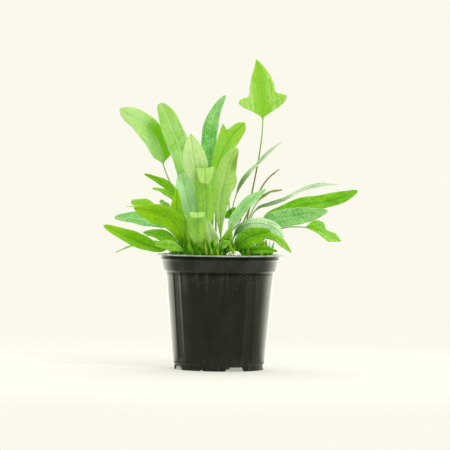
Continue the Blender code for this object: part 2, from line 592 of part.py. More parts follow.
def make_mix(collection, cutters):
    """The potting mix: it fills the pot to just under the rim, with a hole for each stipe."""
    inner = WALL + GAP
    shoulder = RIM_HEIGHT - COLLAR_LOW_HEIGHT
    share = (SOIL_TOP - COLLAR_LOW_HEIGHT) / shoulder
    top_radius = COLLAR_LOW_RADIUS + share * (COLLAR_TOP_RADIUS - COLLAR_LOW_RADIUS) - inner
    profile = [
        (0.0, SOIL_TOP + SOIL_CROWN),
        (28.0, SOIL_TOP + SOIL_CROWN),
        (42.0, SOIL_TOP + 0.5),
        (top_radius, SOIL_TOP),
        (COLLAR_LOW_RADIUS - inner, COLLAR_LOW_HEIGHT + 1.0),
        (BODY_TOP_RADIUS - inner, BODY_TOP_HEIGHT),
        (BODY_LOW_RADIUS - inner - 0.1, BODY_LOW_HEIGHT + 1.2),
        (BODY_LOW_RADIUS - inner - 1.0, SOIL_BOTTOM),
        (0.0, SOIL_BOTTOM),
    ]
    mix = turned("potting_mix", profile, POT_SIDES, collection, finish("potting_mix", MIX_BROWN, 0.95))
    height = SOIL_TOP + HOLE_CUT_OVER - HOLE_FLOOR
    slots = [entry["slot"] for entry in FRONDS] + [CROZIER_SLOT]
    for number, slot in enumerate(slots):
        x, y = slot_place(slot)
        bm = bmesh.new()
        place = Matrix.Translation(Vector((x, y, HOLE_FLOOR + height / 2)) * MM)
        radius = (STIPE_RADIUS + GAP) / math.cos(math.pi / HOLE_SIDES) * MM
        bmesh.ops.create_cone(bm, cap_ends=True, segments=HOLE_SIDES, radius1=radius, radius2=radius,
                              depth=height * MM, matrix=place)
        add_cutter(f"hole_{number}", bm, cutters)
    cut_with(mix, cutters)


def smooth_path(points):
    """A smooth curve through points, as close-set places with their length along it."""
    steps = [(b - a).length for a, b in zip(points, points[1:])]
    speeds = []
    for number, point in enumerate(points):
        if number == 0:
            speeds.append((points[1] - point) / steps[0])
        elif number == len(points) - 1:
            speeds.append((point - points[-2]) / steps[-1])
        else:
            before = (point - points[number - 1]) / steps[number - 1]
            after = (points[number + 1] - point) / steps[number]
            total = steps[number - 1] + steps[number]
            speeds.append((before * steps[number] + after * steps[number - 1]) / total)
    places = [points[0].copy()]
    marks = [0]
    for number, step in enumerate(steps):
        for k in range(1, PATH_STEPS + 1):
            share = k / PATH_STEPS
            square, cube = share ** 2, share ** 3
            places.append(
                points[number] * (2 * cube - 3 * square + 1)
                + speeds[number] * step * (cube - 2 * square + share)
                + points[number + 1] * (3 * square - 2 * cube)
                + speeds[number + 1] * step * (cube - square)
            )
        marks.append(len(places) - 1)
    lengths = [0.0]
    for first, second in zip(places, places[1:]):
        lengths.append(lengths[-1] + (second - first).length)
    return places, lengths, marks


def along(path, length):
    """The place and the direction at a length along a smooth path."""
    places, lengths, _ = path
    number = 1
    while number < len(lengths) - 1 and lengths[number] < length:
        number += 1
    step = lengths[number] - lengths[number - 1]
    share = (length - lengths[number - 1]) / step
    place = places[number - 1].lerp(places[number], share)
    ahead = places[min(number + 1, len(places) - 1)] - places[max(number - 2, 0)]
    return place, ahead.normalized()


def half_widths(entry, share):
    """Half width to the left and to the right of the rib, at a share of the blade's length."""
    if entry["outline"]:
        rows = entry["outline"]
        for low, high in zip(rows, rows[1:]):
            if share <= high[0]:
                break
        mix = (share - low[0]) / (high[0] - low[0])
        return [low[k] + mix * (high[k] - low[k]) for k in (1, 2)]
    power = 1.0 - share + entry["blunt"] * share
    bulge = max(math.sin(math.pi * share ** entry["widest"]), 0.0) ** power
    end = NECK_RADIUS + (TIP_HALF - NECK_RADIUS) * share
    return [end + (entry["half"] - end) * bulge] * 2


def frond_stations(entry):
    """The lengths along the path where a ring stands, and where the blade begins and ends."""
    x, y = slot_place(entry["slot"])
    points = [Vector((x, y, STIPE_CLEAR))] + [Vector(point) for point in entry["rib"]]
    path = smooth_path(points)
    lengths, marks = path[1], path[2]
    start = lengths[marks[entry["blade"] + 1]]
    end = lengths[-1]
    stipe_steps = max(2, round(start / STIPE_STEP))
    if entry["outline"]:
        shares = [row[0] for row in entry["outline"]]
    else:
        count = min(max(round((end - start) / BLADE_STEP), FEWEST_STEPS), MOST_STEPS)
        shares = [k / count for k in range(count)] + [1.0 - TIP_SHARE / count, 1.0]
    stations = [start * k / stipe_steps for k in range(stipe_steps)]
    stations += [start + (end - start) * share for share in shares]
    return path, stations, start, end


def frond_rings(entry):
    """Six points round the frond at each station, from its foot in the mix to its tip."""
    path, stations, start, end = frond_stations(entry)
    places = [along(path, length) for length in stations]
    first_blade = next(k for k, length in enumerate(stations) if length >= start - 1e-6)
    ups = [None] * len(places)
    ahead = places[first_blade][1]
    face = Vector(entry["face"])
    ups[first_blade] = (face - ahead * face.dot(ahead)).normalized()
    for k in range(first_blade + 1, len(places)):
        turn = places[k - 1][1].rotation_difference(places[k][1])
        ups[k] = turn @ ups[k - 1]
    for k in range(first_blade - 1, -1, -1):
        turn = places[k + 1][1].rotation_difference(places[k][1])
        ups[k] = turn @ ups[k + 1]
    rings = []
    for k, (place, ahead) in enumerate(places):
        share = max(0.0, (stations[k] - start) / (end - start))
        up = ups[k]
        right = ahead.cross(up).normalized()
        round_radius = STIPE_RADIUS + (NECK_RADIUS - STIPE_RADIUS) * min(1.0, stations[k] / start)
        tube = [place + (right * math.cos(a) + up * math.sin(a)) * round_radius
                for a in (math.radians(150 - 60 * n) for n in range(6))]
        flat = blade_ring(entry, share, place, ahead, right, up)
        blend = min(1.0, share / NECK_SHARE)
        blend = blend * blend * (3 - 2 * blend)
        rings.append([round_point.lerp(flat_point, blend) for round_point, flat_point in zip(tube, flat)])
    foot = [Vector((point.x, point.y, STIPE_FOOT)) for point in level_ring(rings[0], places[0][0])]
    rings[0] = level_ring(rings[0], places[0][0])
    return [foot] + rings


def level_ring(ring, place):
    """The ring laid level, so that the stipe's foot stands upright in its hole."""
    level = []
    for point in ring:
        offset = point - place
        offset.z = 0.0
        level.append(place + offset.normalized() * STIPE_RADIUS)
    return level


def blade_ring(entry, share, place, ahead, right, up):
    """Left edge, rib and right edge on the upper face, then back along the lower face."""
    left_half, right_half = half_widths(entry, share)
    rise = math.radians(entry["fold"])
    swell = math.sin(math.pi * share) ** 0.5 if 0 < share < 1 else 0.0
    edges = []
    for side, half in ((-1, left_half), (1, right_half)):
        ripple = entry["wave"] * swell * math.sin(math.tau * entry["waves"] * share + RIPPLE_LAG * side)
        lobe = max(0.0, half - entry["half"])
        edges.append(
            place + right * side * half * math.cos(rise)
            + up * (half * math.sin(rise) + ripple) + ahead * entry["lead"] * lobe / entry["half"]
        )
    left, right_edge = edges
    half_thick = up * BLADE_THICK / 2
    taper = 1.0 - share
    over = half_thick + up * RIB_OVER * taper
    under = half_thick + up * RIB_UNDER * taper
    return [left + half_thick, place + over, right_edge + half_thick,
            right_edge - half_thick, place - under, left - half_thick]


def make_frond(entry, collection):
    """A closed loft from the round stipe to the flat blade, both faces split into triangles alike."""
    rings = frond_rings(entry)
    bm = bmesh.new()
    loops = [[bm.verts.new(point * MM) for point in ring] for ring in rings]
    count = len(loops[0])
    for low, high in zip(loops, loops[1:]):
        for k in range(count):
            n = (k + 1) % count
            if k in (0, 2, 4):
                bm.faces.new((low[k], low[n], high[n]))
                bm.faces.new((low[k], high[n], high[k]))
            else:
                bm.faces.new((low[k], low[n], high[k]))
                bm.faces.new((low[n], high[n], high[k]))
    bm.faces.new(list(reversed(loops[0])))
    bm.faces.new(loops[-1])
    bmesh.ops.recalc_face_normals(bm, faces=bm.faces[:])
    mesh = bpy.data.meshes.new(entry["name"])
    bm.to_mesh(mesh)
    bm.free()
    mesh.shade_smooth()
    add_object(entry["name"], mesh, collection, finish(entry["name"], GREENS[entry["colour"]], 0.5))


def main():
    """Clears the scene and builds the whole plant in its pot."""
    for old in list(bpy.data.objects):
        bpy.data.objects.remove(old, do_unlink=True)
    plant = new_collection("potted_blue_star_fern")
    pot_cutters = new_collection("pot_cutters")
    mix_cutters = new_collection("mix_cutters")
    make_pot(plant, pot_cutters)
    make_rhizomes(plant, mix_cutters)
    make_mix(plant, mix_cutters)
    make_crozier(plant)
    for entry in FRONDS:
        make_frond(entry, plant)


main()
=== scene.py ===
# %% [markdown]
# # A potted blue star fern, dressed for a close look
# The frame is a measured model: a nursery pot, its potting mix, three creeping rhizomes, one young
# crozier and fifty-three fronds. This lesson keeps every piece where the frame has it and makes each
# of them again with the detail of the real plant: veins, waved margins, golden scales, moss and bark.
# The first cell loads the frame.

# %% Load the frame
import math
import random

import bmesh
import bpy
from mathutils import Matrix, Vector, noise
from mathutils.bvhtree import BVHTree


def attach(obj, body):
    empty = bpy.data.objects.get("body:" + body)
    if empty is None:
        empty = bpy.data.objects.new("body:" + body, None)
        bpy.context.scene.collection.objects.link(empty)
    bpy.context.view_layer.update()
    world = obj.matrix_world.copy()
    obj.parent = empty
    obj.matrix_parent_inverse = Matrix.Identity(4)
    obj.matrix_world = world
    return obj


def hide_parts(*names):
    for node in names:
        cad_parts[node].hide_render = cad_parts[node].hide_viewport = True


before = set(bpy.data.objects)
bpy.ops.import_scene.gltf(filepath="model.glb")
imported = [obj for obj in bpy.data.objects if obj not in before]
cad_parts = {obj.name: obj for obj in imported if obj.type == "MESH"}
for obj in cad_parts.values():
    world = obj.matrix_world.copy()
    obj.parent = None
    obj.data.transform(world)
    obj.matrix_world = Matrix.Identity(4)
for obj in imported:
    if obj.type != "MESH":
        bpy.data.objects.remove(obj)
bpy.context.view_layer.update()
MM = 0.001
BODY = "root"

# %% [markdown]
# ## The camera
# The photograph was taken with a long lens from about three metres, a little above the leaves, and
# the pot leans clockwise by less than a degree. A short lens close by would show the same width, but
# it would look down into the pot. So the camera stands three metres away, and the lens is worked out
# from how many millimetres one pixel of the picture covers at the pot.

# %% Place the camera
PICTURE_PIXELS = 450
MM_PER_PIXEL = 0.868
LEAN = math.radians(-0.7)
AIM = Vector((4.03, 0.0, 125.2)) * MM
EYE = Vector((4.03, -3000.0, 178.0)) * MM


def add_object(name, data):
    """Makes an object from its data and puts it into the scene."""
    thing = bpy.data.objects.new(name, data)
    bpy.context.scene.collection.objects.link(thing)
    return thing


def place_camera():
    """A long lens aimed at the middle of the picture, rolled by the pot's lean."""
    lens = bpy.data.cameras.new("long_lens")
    lens.sensor_width = 36.0
    lens.lens = lens.sensor_width * (AIM - EYE).length / (PICTURE_PIXELS * MM_PER_PIXEL * MM)
    lens.clip_start, lens.clip_end = 0.1, 30.0
    camera = add_object("camera", lens)
    sight = (AIM - EYE).normalized()
    camera.matrix_world = (
        Matrix.Translation(EYE) @ Matrix.Rotation(LEAN, 4, sight)
        @ sight.to_track_quat("-Z", "Y").to_matrix().to_4x4()
    )
    bpy.context.scene.camera = camera
    print("lens in mm:", round(lens.lens, 1))


place_camera()

# %% [markdown]
# ## Small tools for materials
# Every finish below is a tree of nodes. Typing each node and each link out would hide the idea, so
# `put` adds one node and fills its sockets: a socket of another node becomes a link, and anything
# else becomes the socket's own value. `tint` turns a colour from the 0 to 255 scale of a picture
# into the linear numbers that a shader works with.

# %% Tools for nodes and colours


def tint(red, green, blue):
    """Linear colour from the 0 to 255 numbers of a picture."""
    def linear(part):
        part /= 255
        return part / 12.92 if part <= 0.04045 else ((part + 0.055) / 1.055) ** 2.4
    return linear(red), linear(green), linear(blue), 1.0


def put(tree, kind, values=None, **settings):
    """Adds a node; values are links or numbers for its sockets, settings are its own choices."""
    made = tree.nodes.new(kind)
    for key, value in settings.items():
        setattr(made, key, value)
    for key, value in (values or {}).items():
        if isinstance(value, bpy.types.NodeSocket):
            tree.links.new(value, made.inputs[key])
        else:
            made.inputs[key].default_value = value
    return made


def blend(tree, share, first, second):
    """Mixes two colours by a share and gives the result's socket."""
    return put(tree, "ShaderNodeMix", {0: share, 6: first, 7: second}, data_type="RGBA",
               clamp_factor=True).outputs[2]


def sum_up(tree, kind, first, second=0.0, third=0.0):
    """One step of arithmetic on numbers."""
    return put(tree, "ShaderNodeMath", {0: first, 1: second, 2: third}, operation=kind).outputs[0]


def times(tree, first, second):
    """One number times another."""
    return sum_up(tree, "MULTIPLY", first, second)


def ramp(tree, value, low, high, start=0.0, end=1.0):
    """Turns a value between low and high into one between start and end, with soft ends."""
    return put(tree, "ShaderNodeMapRange",
               {"Value": value, "From Min": low, "From Max": high, "To Min": start, "To Max": end},
               interpolation_type="SMOOTHSTEP").outputs["Result"]


def new_group(name, inputs, outputs):
    """An empty node group with its sockets: inputs as name, kind and value, outputs as name and kind."""
    tree = bpy.data.node_groups.new(name, "ShaderNodeTree")
    for label, kind, value in inputs:
        tree.interface.new_socket(label, in_out="INPUT", socket_type=kind).default_value = value
    for label, kind in outputs:
        tree.interface.new_socket(label, in_out="OUTPUT", socket_type=kind)
    return tree, tree.nodes.new("NodeGroupInput").outputs, tree.nodes.new("NodeGroupOutput").inputs


def use_group(tree, name, values):
    """Places a node group in a material and fills its sockets."""
    return put(tree, "ShaderNodeGroup", values, node_tree=bpy.data.node_groups[name]).outputs


def clouds_of(tree, scale, low, high):
    """The amount of the shared clouds, at a scale and between two limits."""
    return use_group(tree, "clouds", {"Scale": scale, "Low": low, "High": high})["Amount"]


def specks_of(tree, scale, size, share):
    """The amount of the shared specks, at a scale, of a size and in a share of the cells."""
    return use_group(tree, "specks", {"Scale": scale, "Size": size, "Share": share})["Amount"]


def object_place(tree):
    """The socket that tells where on the piece a point is."""
    return put(tree, "ShaderNodeTexCoord").outputs["Object"]


def height_of(tree, place):
    """How high a place is, in metres."""
    return put(tree, "ShaderNodeSeparateXYZ", {0: place}).outputs["Z"]


def own_value(tree, label):
    """The socket of a value that the shape wrote on its points."""
    return put(tree, "ShaderNodeAttribute", attribute_name=label).outputs["Fac"]


def add_relief(tree, shader, height, strength, distance):
    """Lets a pattern of heights tilt the light on a finish."""
    bump = put(tree, "ShaderNodeBump", {"Height": height, "Strength": strength, "Distance": distance})
    tree.links.new(bump.outputs[0], shader.inputs["Normal"])


def new_material(name, constants):
    """A Principled material; the constants are typed straight into its sockets."""
    material = bpy.data.materials.new(name)
    material.use_nodes = True
    tree = material.node_tree
    shader = tree.nodes["Principled BSDF"]
    for key, value in constants.items():
        shader.inputs[key].default_value = value
    return material, tree, shader


FLOAT, COLOUR = "NodeSocketFloat", "NodeSocketColor"
print("tools ready")

# %% [markdown]
# ## Effects that several finishes share
# Clouds are a slow change of tone, as on every grown or moulded thing. Specks are small spots that
# lie on a surface: dust and dried drops on plastic, pale grit in the mix, scales on a stem. Both read
# Object coordinates, so they stay where they are when the camera moves. They are node groups, built
# once and placed in each material with that material's own numbers.

# %% Clouds and specks


def make_clouds():
    """Clouds: a soft pattern from 0 to 1."""
    tree, given, out = new_group(
        "clouds", [("Scale", FLOAT, 60.0), ("Low", FLOAT, 0.35), ("High", FLOAT, 0.65)], [("Amount", FLOAT)]
    )
    place = object_place(tree)
    pattern = put(tree, "ShaderNodeTexNoise", {"Vector": place, "Scale": given["Scale"], "Detail": 4.0})
    tree.links.new(ramp(tree, pattern.outputs[0], given["Low"], given["High"]), out["Amount"])


def make_specks():
    """Specks: round spots in only a share of the cells of a cell pattern."""
    tree, given, out = new_group(
        "specks", [("Scale", FLOAT, 400.0), ("Size", FLOAT, 0.25), ("Share", FLOAT, 0.2)],
        [("Amount", FLOAT)],
    )
    place = object_place(tree)
    cells = put(tree, "ShaderNodeTexVoronoi", {"Vector": place, "Scale": given["Scale"]})
    spot = ramp(tree, cells.outputs["Distance"], given["Size"], 0.0)
    chance = put(tree, "ShaderNodeSeparateColor", {0: cells.outputs["Color"]}).outputs[0]
    kept = sum_up(tree, "LESS_THAN", chance, given["Share"])
    tree.links.new(times(tree, spot, kept), out["Amount"])


make_clouds()
make_specks()
print("node groups:", [group.name for group in bpy.data.node_groups])

# %% [markdown]
# ## Floor, air and lamps
# The plant is shown against bright cream air with almost no shadow. One way is many lamps. Another
# is to let the air itself shine, and to add one broad lamp from the upper right that gives the leaves
# a lit side and a shaded side. A studio's back wall is lit more strongly than the room behind the
# viewer. The air does the same: the sides of the black pot mirror the bright wall, and its front has
# only the dim room to mirror. To the eye the air stays plain cream. The floor is a wide disc in the
# same cream: near the pot it takes a soft shadow and glows only a little, so that the notches of the
# foot stay readable, and further out it glows like the air, so that no horizon shows.

# %% The studio's light
CREAM, WHITE = tint(251, 249, 236), (1.0, 1.0, 1.0, 1.0)
FLOOR_RADIUS, FLOOR_ALBEDO, FLOOR_GLOW = 12.0, 0.73, 0.4
ROOM_LIT, ROOM_MIRRORED, SIDES_MIRRORED, WALL_SHARE = 0.62, 0.44, 0.6, 2.7


def dimmed(share, colour=CREAM):
    """A colour times a share."""
    return tuple(part * share for part in colour[:3]) + (1.0,)


def make_studio():
    """How bright the studio is in a direction: dim towards the viewer, brightest at the wall behind."""
    tree, given, out = new_group("studio", [("Ahead", FLOAT, 0.0), ("Mirrored", FLOAT, 0.0)],
                                 [("Light", COLOUR)])
    room = blend(tree, given["Mirrored"], dimmed(ROOM_LIT), dimmed(ROOM_MIRRORED))
    beside = blend(tree, given["Mirrored"], CREAM, dimmed(SIDES_MIRRORED))
    sides = blend(tree, ramp(tree, given["Ahead"], -0.62, -0.2), room, beside)
    wall = blend(tree, ramp(tree, given["Ahead"], 0.1, 0.7), sides, dimmed(WALL_SHARE))
    tree.links.new(wall, out["Light"])


make_studio()
print("node groups:", [group.name for group in bpy.data.node_groups])

# %% The floor


def mesh_of(bm, name):
    """Turns a draft into a mesh and lets the draft go."""
    mesh = bpy.data.meshes.new(name)
    bm.to_mesh(mesh)
    bm.free()
    return mesh


def make_floor():
    """A wide disc that fades from a surface which takes shadows into plain glowing cream."""
    bm = bmesh.new()
    bmesh.ops.create_circle(bm, cap_ends=True, segments=96, radius=FLOOR_RADIUS)
    floor = add_object("floor", mesh_of(bm, "floor"))
    material, tree, shader = new_material(
        "pale_floor", {"Roughness": 1.0, "Specular IOR Level": 0.0, "Emission Strength": 1.0}
    )
    place = object_place(tree)
    away = put(tree, "ShaderNodeVectorMath", {0: place}, operation="LENGTH").outputs["Value"]
    glow = ramp(tree, away, 0.12, 0.6)
    mirrored = put(tree, "ShaderNodeLightPath").outputs["Is Glossy Ray"]
    outward = put(tree, "ShaderNodeVectorMath", {0: place}, operation="NORMALIZE").outputs["Vector"]
    ahead = put(tree, "ShaderNodeSeparateXYZ", {0: outward}).outputs["Y"]
    studio = use_group(tree, "studio", {"Ahead": ahead, "Mirrored": mirrored})["Light"]
    surface = blend(tree, glow, dimmed(FLOOR_ALBEDO * (1 - FLOOR_GLOW), WHITE), dimmed(0.0))
    tree.links.new(blend(tree, mirrored, surface, dimmed(0.0)), shader.inputs["Base Color"])
    shine = blend(tree, glow, dimmed(FLOOR_GLOW), CREAM)
    tree.links.new(blend(tree, mirrored, shine, studio), shader.inputs["Emission Color"])
    floor.data.materials.append(material)


make_floor()
print("floor radius in metres:", FLOOR_RADIUS)

# %% Air and lamp


def make_air():
    """The air: plain cream to look at, but as a light it follows the studio."""
    air = bpy.data.worlds.new("cream_air")
    air.use_nodes = True
    tree = air.node_tree
    way = put(tree, "ShaderNodeTexCoord").outputs["Generated"]
    ahead = put(tree, "ShaderNodeSeparateXYZ", {0: way}).outputs["Y"]
    rays = put(tree, "ShaderNodeLightPath").outputs
    studio = use_group(tree, "studio", {"Ahead": ahead, "Mirrored": rays["Is Glossy Ray"]})["Light"]
    light = blend(tree, rays["Is Camera Ray"], studio, CREAM)
    tree.links.new(light, tree.nodes["Background"].inputs["Color"])
    bpy.context.scene.world = air


def make_lamp(name, place, power, size, colour):
    """A square lamp that looks at the plant."""
    data = bpy.data.lights.new(name, "AREA")
    data.energy, data.size, data.color = power, size, colour
    lamp = add_object(name, data)
    lamp.location = place
    lamp.rotation_euler = (Vector((0.0, 0.0, 0.12)) - Vector(place)).to_track_quat("-Z", "Y").to_euler()


make_air()
make_lamp("key", (0.9, -1.6, 1.9), 22.0, 0.6, (1.0, 0.99, 0.95))
bpy.context.scene.view_settings.view_transform = "Standard"

# %% [markdown]
# ## Making a piece
# A bmesh is only a draft. `settle` turns it into an object: normals point outwards, the surface is
# smooth, it gets its finish and rides on the body, and the pieces of the frame that it stands for
# are hidden.

# %% Turn a draft into a piece


def settle(name, bm, material, stands_for=()):
    """Makes a draft into a piece of the plant."""
    bmesh.ops.recalc_face_normals(bm, faces=bm.faces[:])
    mesh = mesh_of(bm, name)
    mesh.materials.append(material)
    mesh.shade_smooth()
    piece = add_object(name, mesh)
    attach(piece, BODY)
    if stands_for:
        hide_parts(*stands_for)
    return piece


def spun(profile, steps):
    """Turns a profile of radius and height, in millimetres, once round the upright axis."""
    bm = bmesh.new()
    chain = [bm.verts.new((radius * MM, 0.0, height * MM)) for radius, height in profile]
    edges = [bm.edges.new(pair) for pair in zip(chain, chain[1:])]
    bmesh.ops.spin(bm, geom=chain + edges, cent=(0, 0, 0), axis=(0, 0, 1), angle=math.tau,
                   steps=steps, use_merge=True)
    bmesh.ops.remove_doubles(bm, verts=bm.verts[:], dist=0.00001)
    return bm


def soft(value):
    """A share between 0 and 1 with soft ends."""
    value = min(max(value, 0.0), 1.0)
    return value * value * (3 - 2 * value)


print("piece tools ready")

# %% [markdown]
# ## The pot
# The real pot is blown or pressed from thin black plastic: a flat rolled flange, a collar with a fine
# bead under it, a step, a tapered body with four shallow upright flutes, and a foot ring with notches
# that let water out. A pot could be carved out of cylinders. Spinning its profile is better, because
# one line of points gives both faces of the wall with an even thickness. The flutes and the notches
# are then made by moving the points that lie in them, and the drain holes are cut last.

# %% The pot's profile
RIM = 100.0
WALL = 1.2
BODY_TOP, BODY_LOW = (47.0, 84.4), (40.2, 6.0)
FOOT_RADIUS, FLOOR_UNDER, FLOOR_TOP, PAD_RADIUS = 38.9, 4.2, 5.4, 10.0
POT_STEPS, OUTSIDE_ROWS, INSIDE_ROWS = 288, 40, 12


def rows_between(low, high, count):
    """Points on a straight wall, so that a flute has something to bend."""
    return [(low[0] + (high[0] - low[0]) * k / count, low[1] + (high[1] - low[1]) * k / count)
            for k in range(1, count)]


def pot_profile():
    """Radius and height of every point, down the outside and back up the inside."""
    outside = [
        (53.9, RIM), (54.5, RIM - 0.06), (54.9, RIM - 0.3), (55.0, RIM - 0.6), (54.9, RIM - 0.9),
        (54.5, RIM - 1.1), (52.2, RIM - 1.15), (51.7, RIM - 1.5), (51.45, RIM - 3.0),
        (51.85, RIM - 3.5), (51.9, RIM - 4.0), (51.75, RIM - 4.5), (51.2, RIM - 4.9), (50.7, RIM - 7.0),
        (49.9, 88.0), (49.65, 86.4), (49.45, 86.0), (48.95, 85.0), (48.4, 84.75), (47.3, 84.5), BODY_TOP,
    ]
    outside += rows_between(BODY_TOP, BODY_LOW, OUTSIDE_ROWS)
    outside += [
        BODY_LOW, (39.9, 5.6), (39.1, 5.1), (FOOT_RADIUS, 4.6), (38.8, 2.0), (38.7, 0.5), (38.5, 0.1),
        (38.3, 0.0), (37.6, 0.0), (37.4, 0.1), (37.35, 0.5), (37.5, 2.0), (37.55, 3.8), (37.2, FLOOR_UNDER),
        (PAD_RADIUS + 1.4, FLOOR_UNDER), (PAD_RADIUS + 0.9, 3.9), (PAD_RADIUS, 0.2), (PAD_RADIUS - 0.3, 0.0),
        (0.0, 0.0),
    ]
    low, high = (39.0, 7.0), (BODY_TOP[0] - WALL, BODY_TOP[1])
    inside = [
        (0.0, WALL), (PAD_RADIUS - WALL, WALL), (PAD_RADIUS - 0.3, FLOOR_TOP - 0.3),
        (PAD_RADIUS + 0.2, FLOOR_TOP), (38.0, FLOOR_TOP), (38.7, 5.8), low,
    ]
    inside += rows_between(low, high, INSIDE_ROWS)
    inside += [high, (47.1, 85.4), (48.3, 86.6), (50.4, RIM - 0.9), (50.6, RIM - 0.3), (51.0, RIM)]
    return outside + inside + [outside[0]]


print("points in the pot's profile:", len(pot_profile()))


# %% Flutes, notches and drain holes
FLUTE_FIRST, FLUTE_WIDTH, FLUTE_DEPTH, FLUTE_SPAN = -53.0, 9.2, 0.55, (9.0, 83.0)
FLUTE_EDGE, SKIN = 0.9, 0.4
NOTCHES = [(21.5, 12.0, 3.5), (-22.5, 2.0, 1.0)]
FOOT_INSIDE, FOOT_HIGH = 34.0, 3.9
DRAINS, DRAIN_RADIUS, DRAIN_CIRCLE, PEG_LONG = 8, 3.0, 24.0, 6.0


def turn_from(vert, angle):
    """How far round the pot a point is from an angle, in degrees; both count from the front to +X."""
    own = math.degrees(math.atan2(vert.co.x, -vert.co.y))
    return (own - angle + 180) % 360 - 180


def press_flutes(bm):
    """Flattens the wall in four upright strips."""
    for vert in bm.verts:
        height, radius = vert.co.z / MM, vert.co.xy.length / MM
        share = (height - BODY_LOW[1]) / (BODY_TOP[1] - BODY_LOW[1])
        wall = BODY_LOW[0] + share * (BODY_TOP[0] - BODY_LOW[0])
        if not FLUTE_SPAN[0] - 1 < height < FLUTE_SPAN[1] + 1 or radius < wall - SKIN:
            continue
        for quarter in range(4):
            away = math.radians(turn_from(vert, FLUTE_FIRST + 90 * quarter))
            aside = abs(radius * math.sin(away))
            if abs(away) > 0.5 or aside > FLUTE_WIDTH / 2:
                continue
            ends = min(height - FLUTE_SPAN[0], FLUTE_SPAN[1] - height) + 1
            window = soft((FLUTE_WIDTH / 2 - aside) / FLUTE_EDGE) * soft(ends)
            flat = (wall - FLUTE_DEPTH) / math.cos(away)
            vert.co.xy *= (radius + (flat - radius) * window) / radius


def open_foot(bm):
    """Lifts the lower edge of the foot ring at each notch."""
    for vert in bm.verts:
        if vert.co.xy.length < FOOT_INSIDE * MM or vert.co.z > FOOT_HIGH * MM:
            continue
        for first, half_angle, height in NOTCHES:
            for quarter in range(4):
                away = abs(turn_from(vert, first + 90 * quarter))
                lift = height * MM * soft((half_angle - away) / (0.25 * half_angle) + 0.5)
                vert.co.z = max(vert.co.z, lift)


def drain_pegs():
    """Eight short pegs in one draft."""
    bm = bmesh.new()
    for number in range(DRAINS):
        turn = Matrix.Rotation(math.tau * (number + 0.5) / DRAINS, 4, "Z")
        place = Matrix.Translation(Vector((0.0, -DRAIN_CIRCLE, FLOOR_UNDER)) * MM)
        bmesh.ops.create_cone(bm, cap_ends=True, segments=32, radius1=DRAIN_RADIUS * MM,
                              radius2=DRAIN_RADIUS * MM, depth=PEG_LONG * MM, matrix=turn @ place)
    return bm


def cut_drains(bm):
    """Cuts the pegs out of a draft and gives back the cut draft."""
    bmesh.ops.recalc_face_normals(bm, faces=bm.faces[:])
    uncut = add_object("uncut", mesh_of(bm, "uncut"))
    pegs = add_object("drain_pegs", mesh_of(drain_pegs(), "drain_pegs"))
    cut = uncut.modifiers.new("drains", "BOOLEAN")
    cut.operation, cut.solver, cut.object = "DIFFERENCE", "EXACT", pegs
    bpy.context.view_layer.update()
    cut_draft = bmesh.new()
    cut_draft.from_mesh(uncut.evaluated_get(bpy.context.evaluated_depsgraph_get()).to_mesh())
    for thing in (uncut, pegs):
        bpy.data.objects.remove(thing)
    return cut_draft


print("flutes at:", [FLUTE_FIRST + 90 * quarter for quarter in range(4)], "drain holes:", DRAINS)

# %% [markdown]
# ## Black plastic
# The plastic is not quite black: it is a greenish grey so dark that most of what is seen is the
# shine on it. Clouds change its roughness a little, as pressed plastic has. Below the collar hang
# dust and dried drops from watering, so specks are masked by height. A painted highlight makes the
# flange's edge paler in patches, and in the two hollows under the flange and under the step painted
# shade turns the shine down.
# A picture of a pot could be wrapped round it, but nodes stay sharp close by.

# %% Finish the plastic
PLASTIC_SHINE = (0.96, 1.0, 0.76, 1.0)
GRIMY = (0.060, 0.083, 0.084, 0.086)
COLLAR = (0.084, 0.086, 0.096, 0.0975)
UNDER_FLANGE = (0.0945, 0.0962, 0.0984, 0.0990)
UNDER_STEP = (0.0808, 0.0832, 0.0846, 0.0856)


def band(tree, height, levels):
    """1 inside a band of heights; the levels, in metres, say where it starts, is full, fades and ends."""
    start, full, fade, end = levels
    return times(tree, ramp(tree, height, start, full), ramp(tree, height, end, fade))


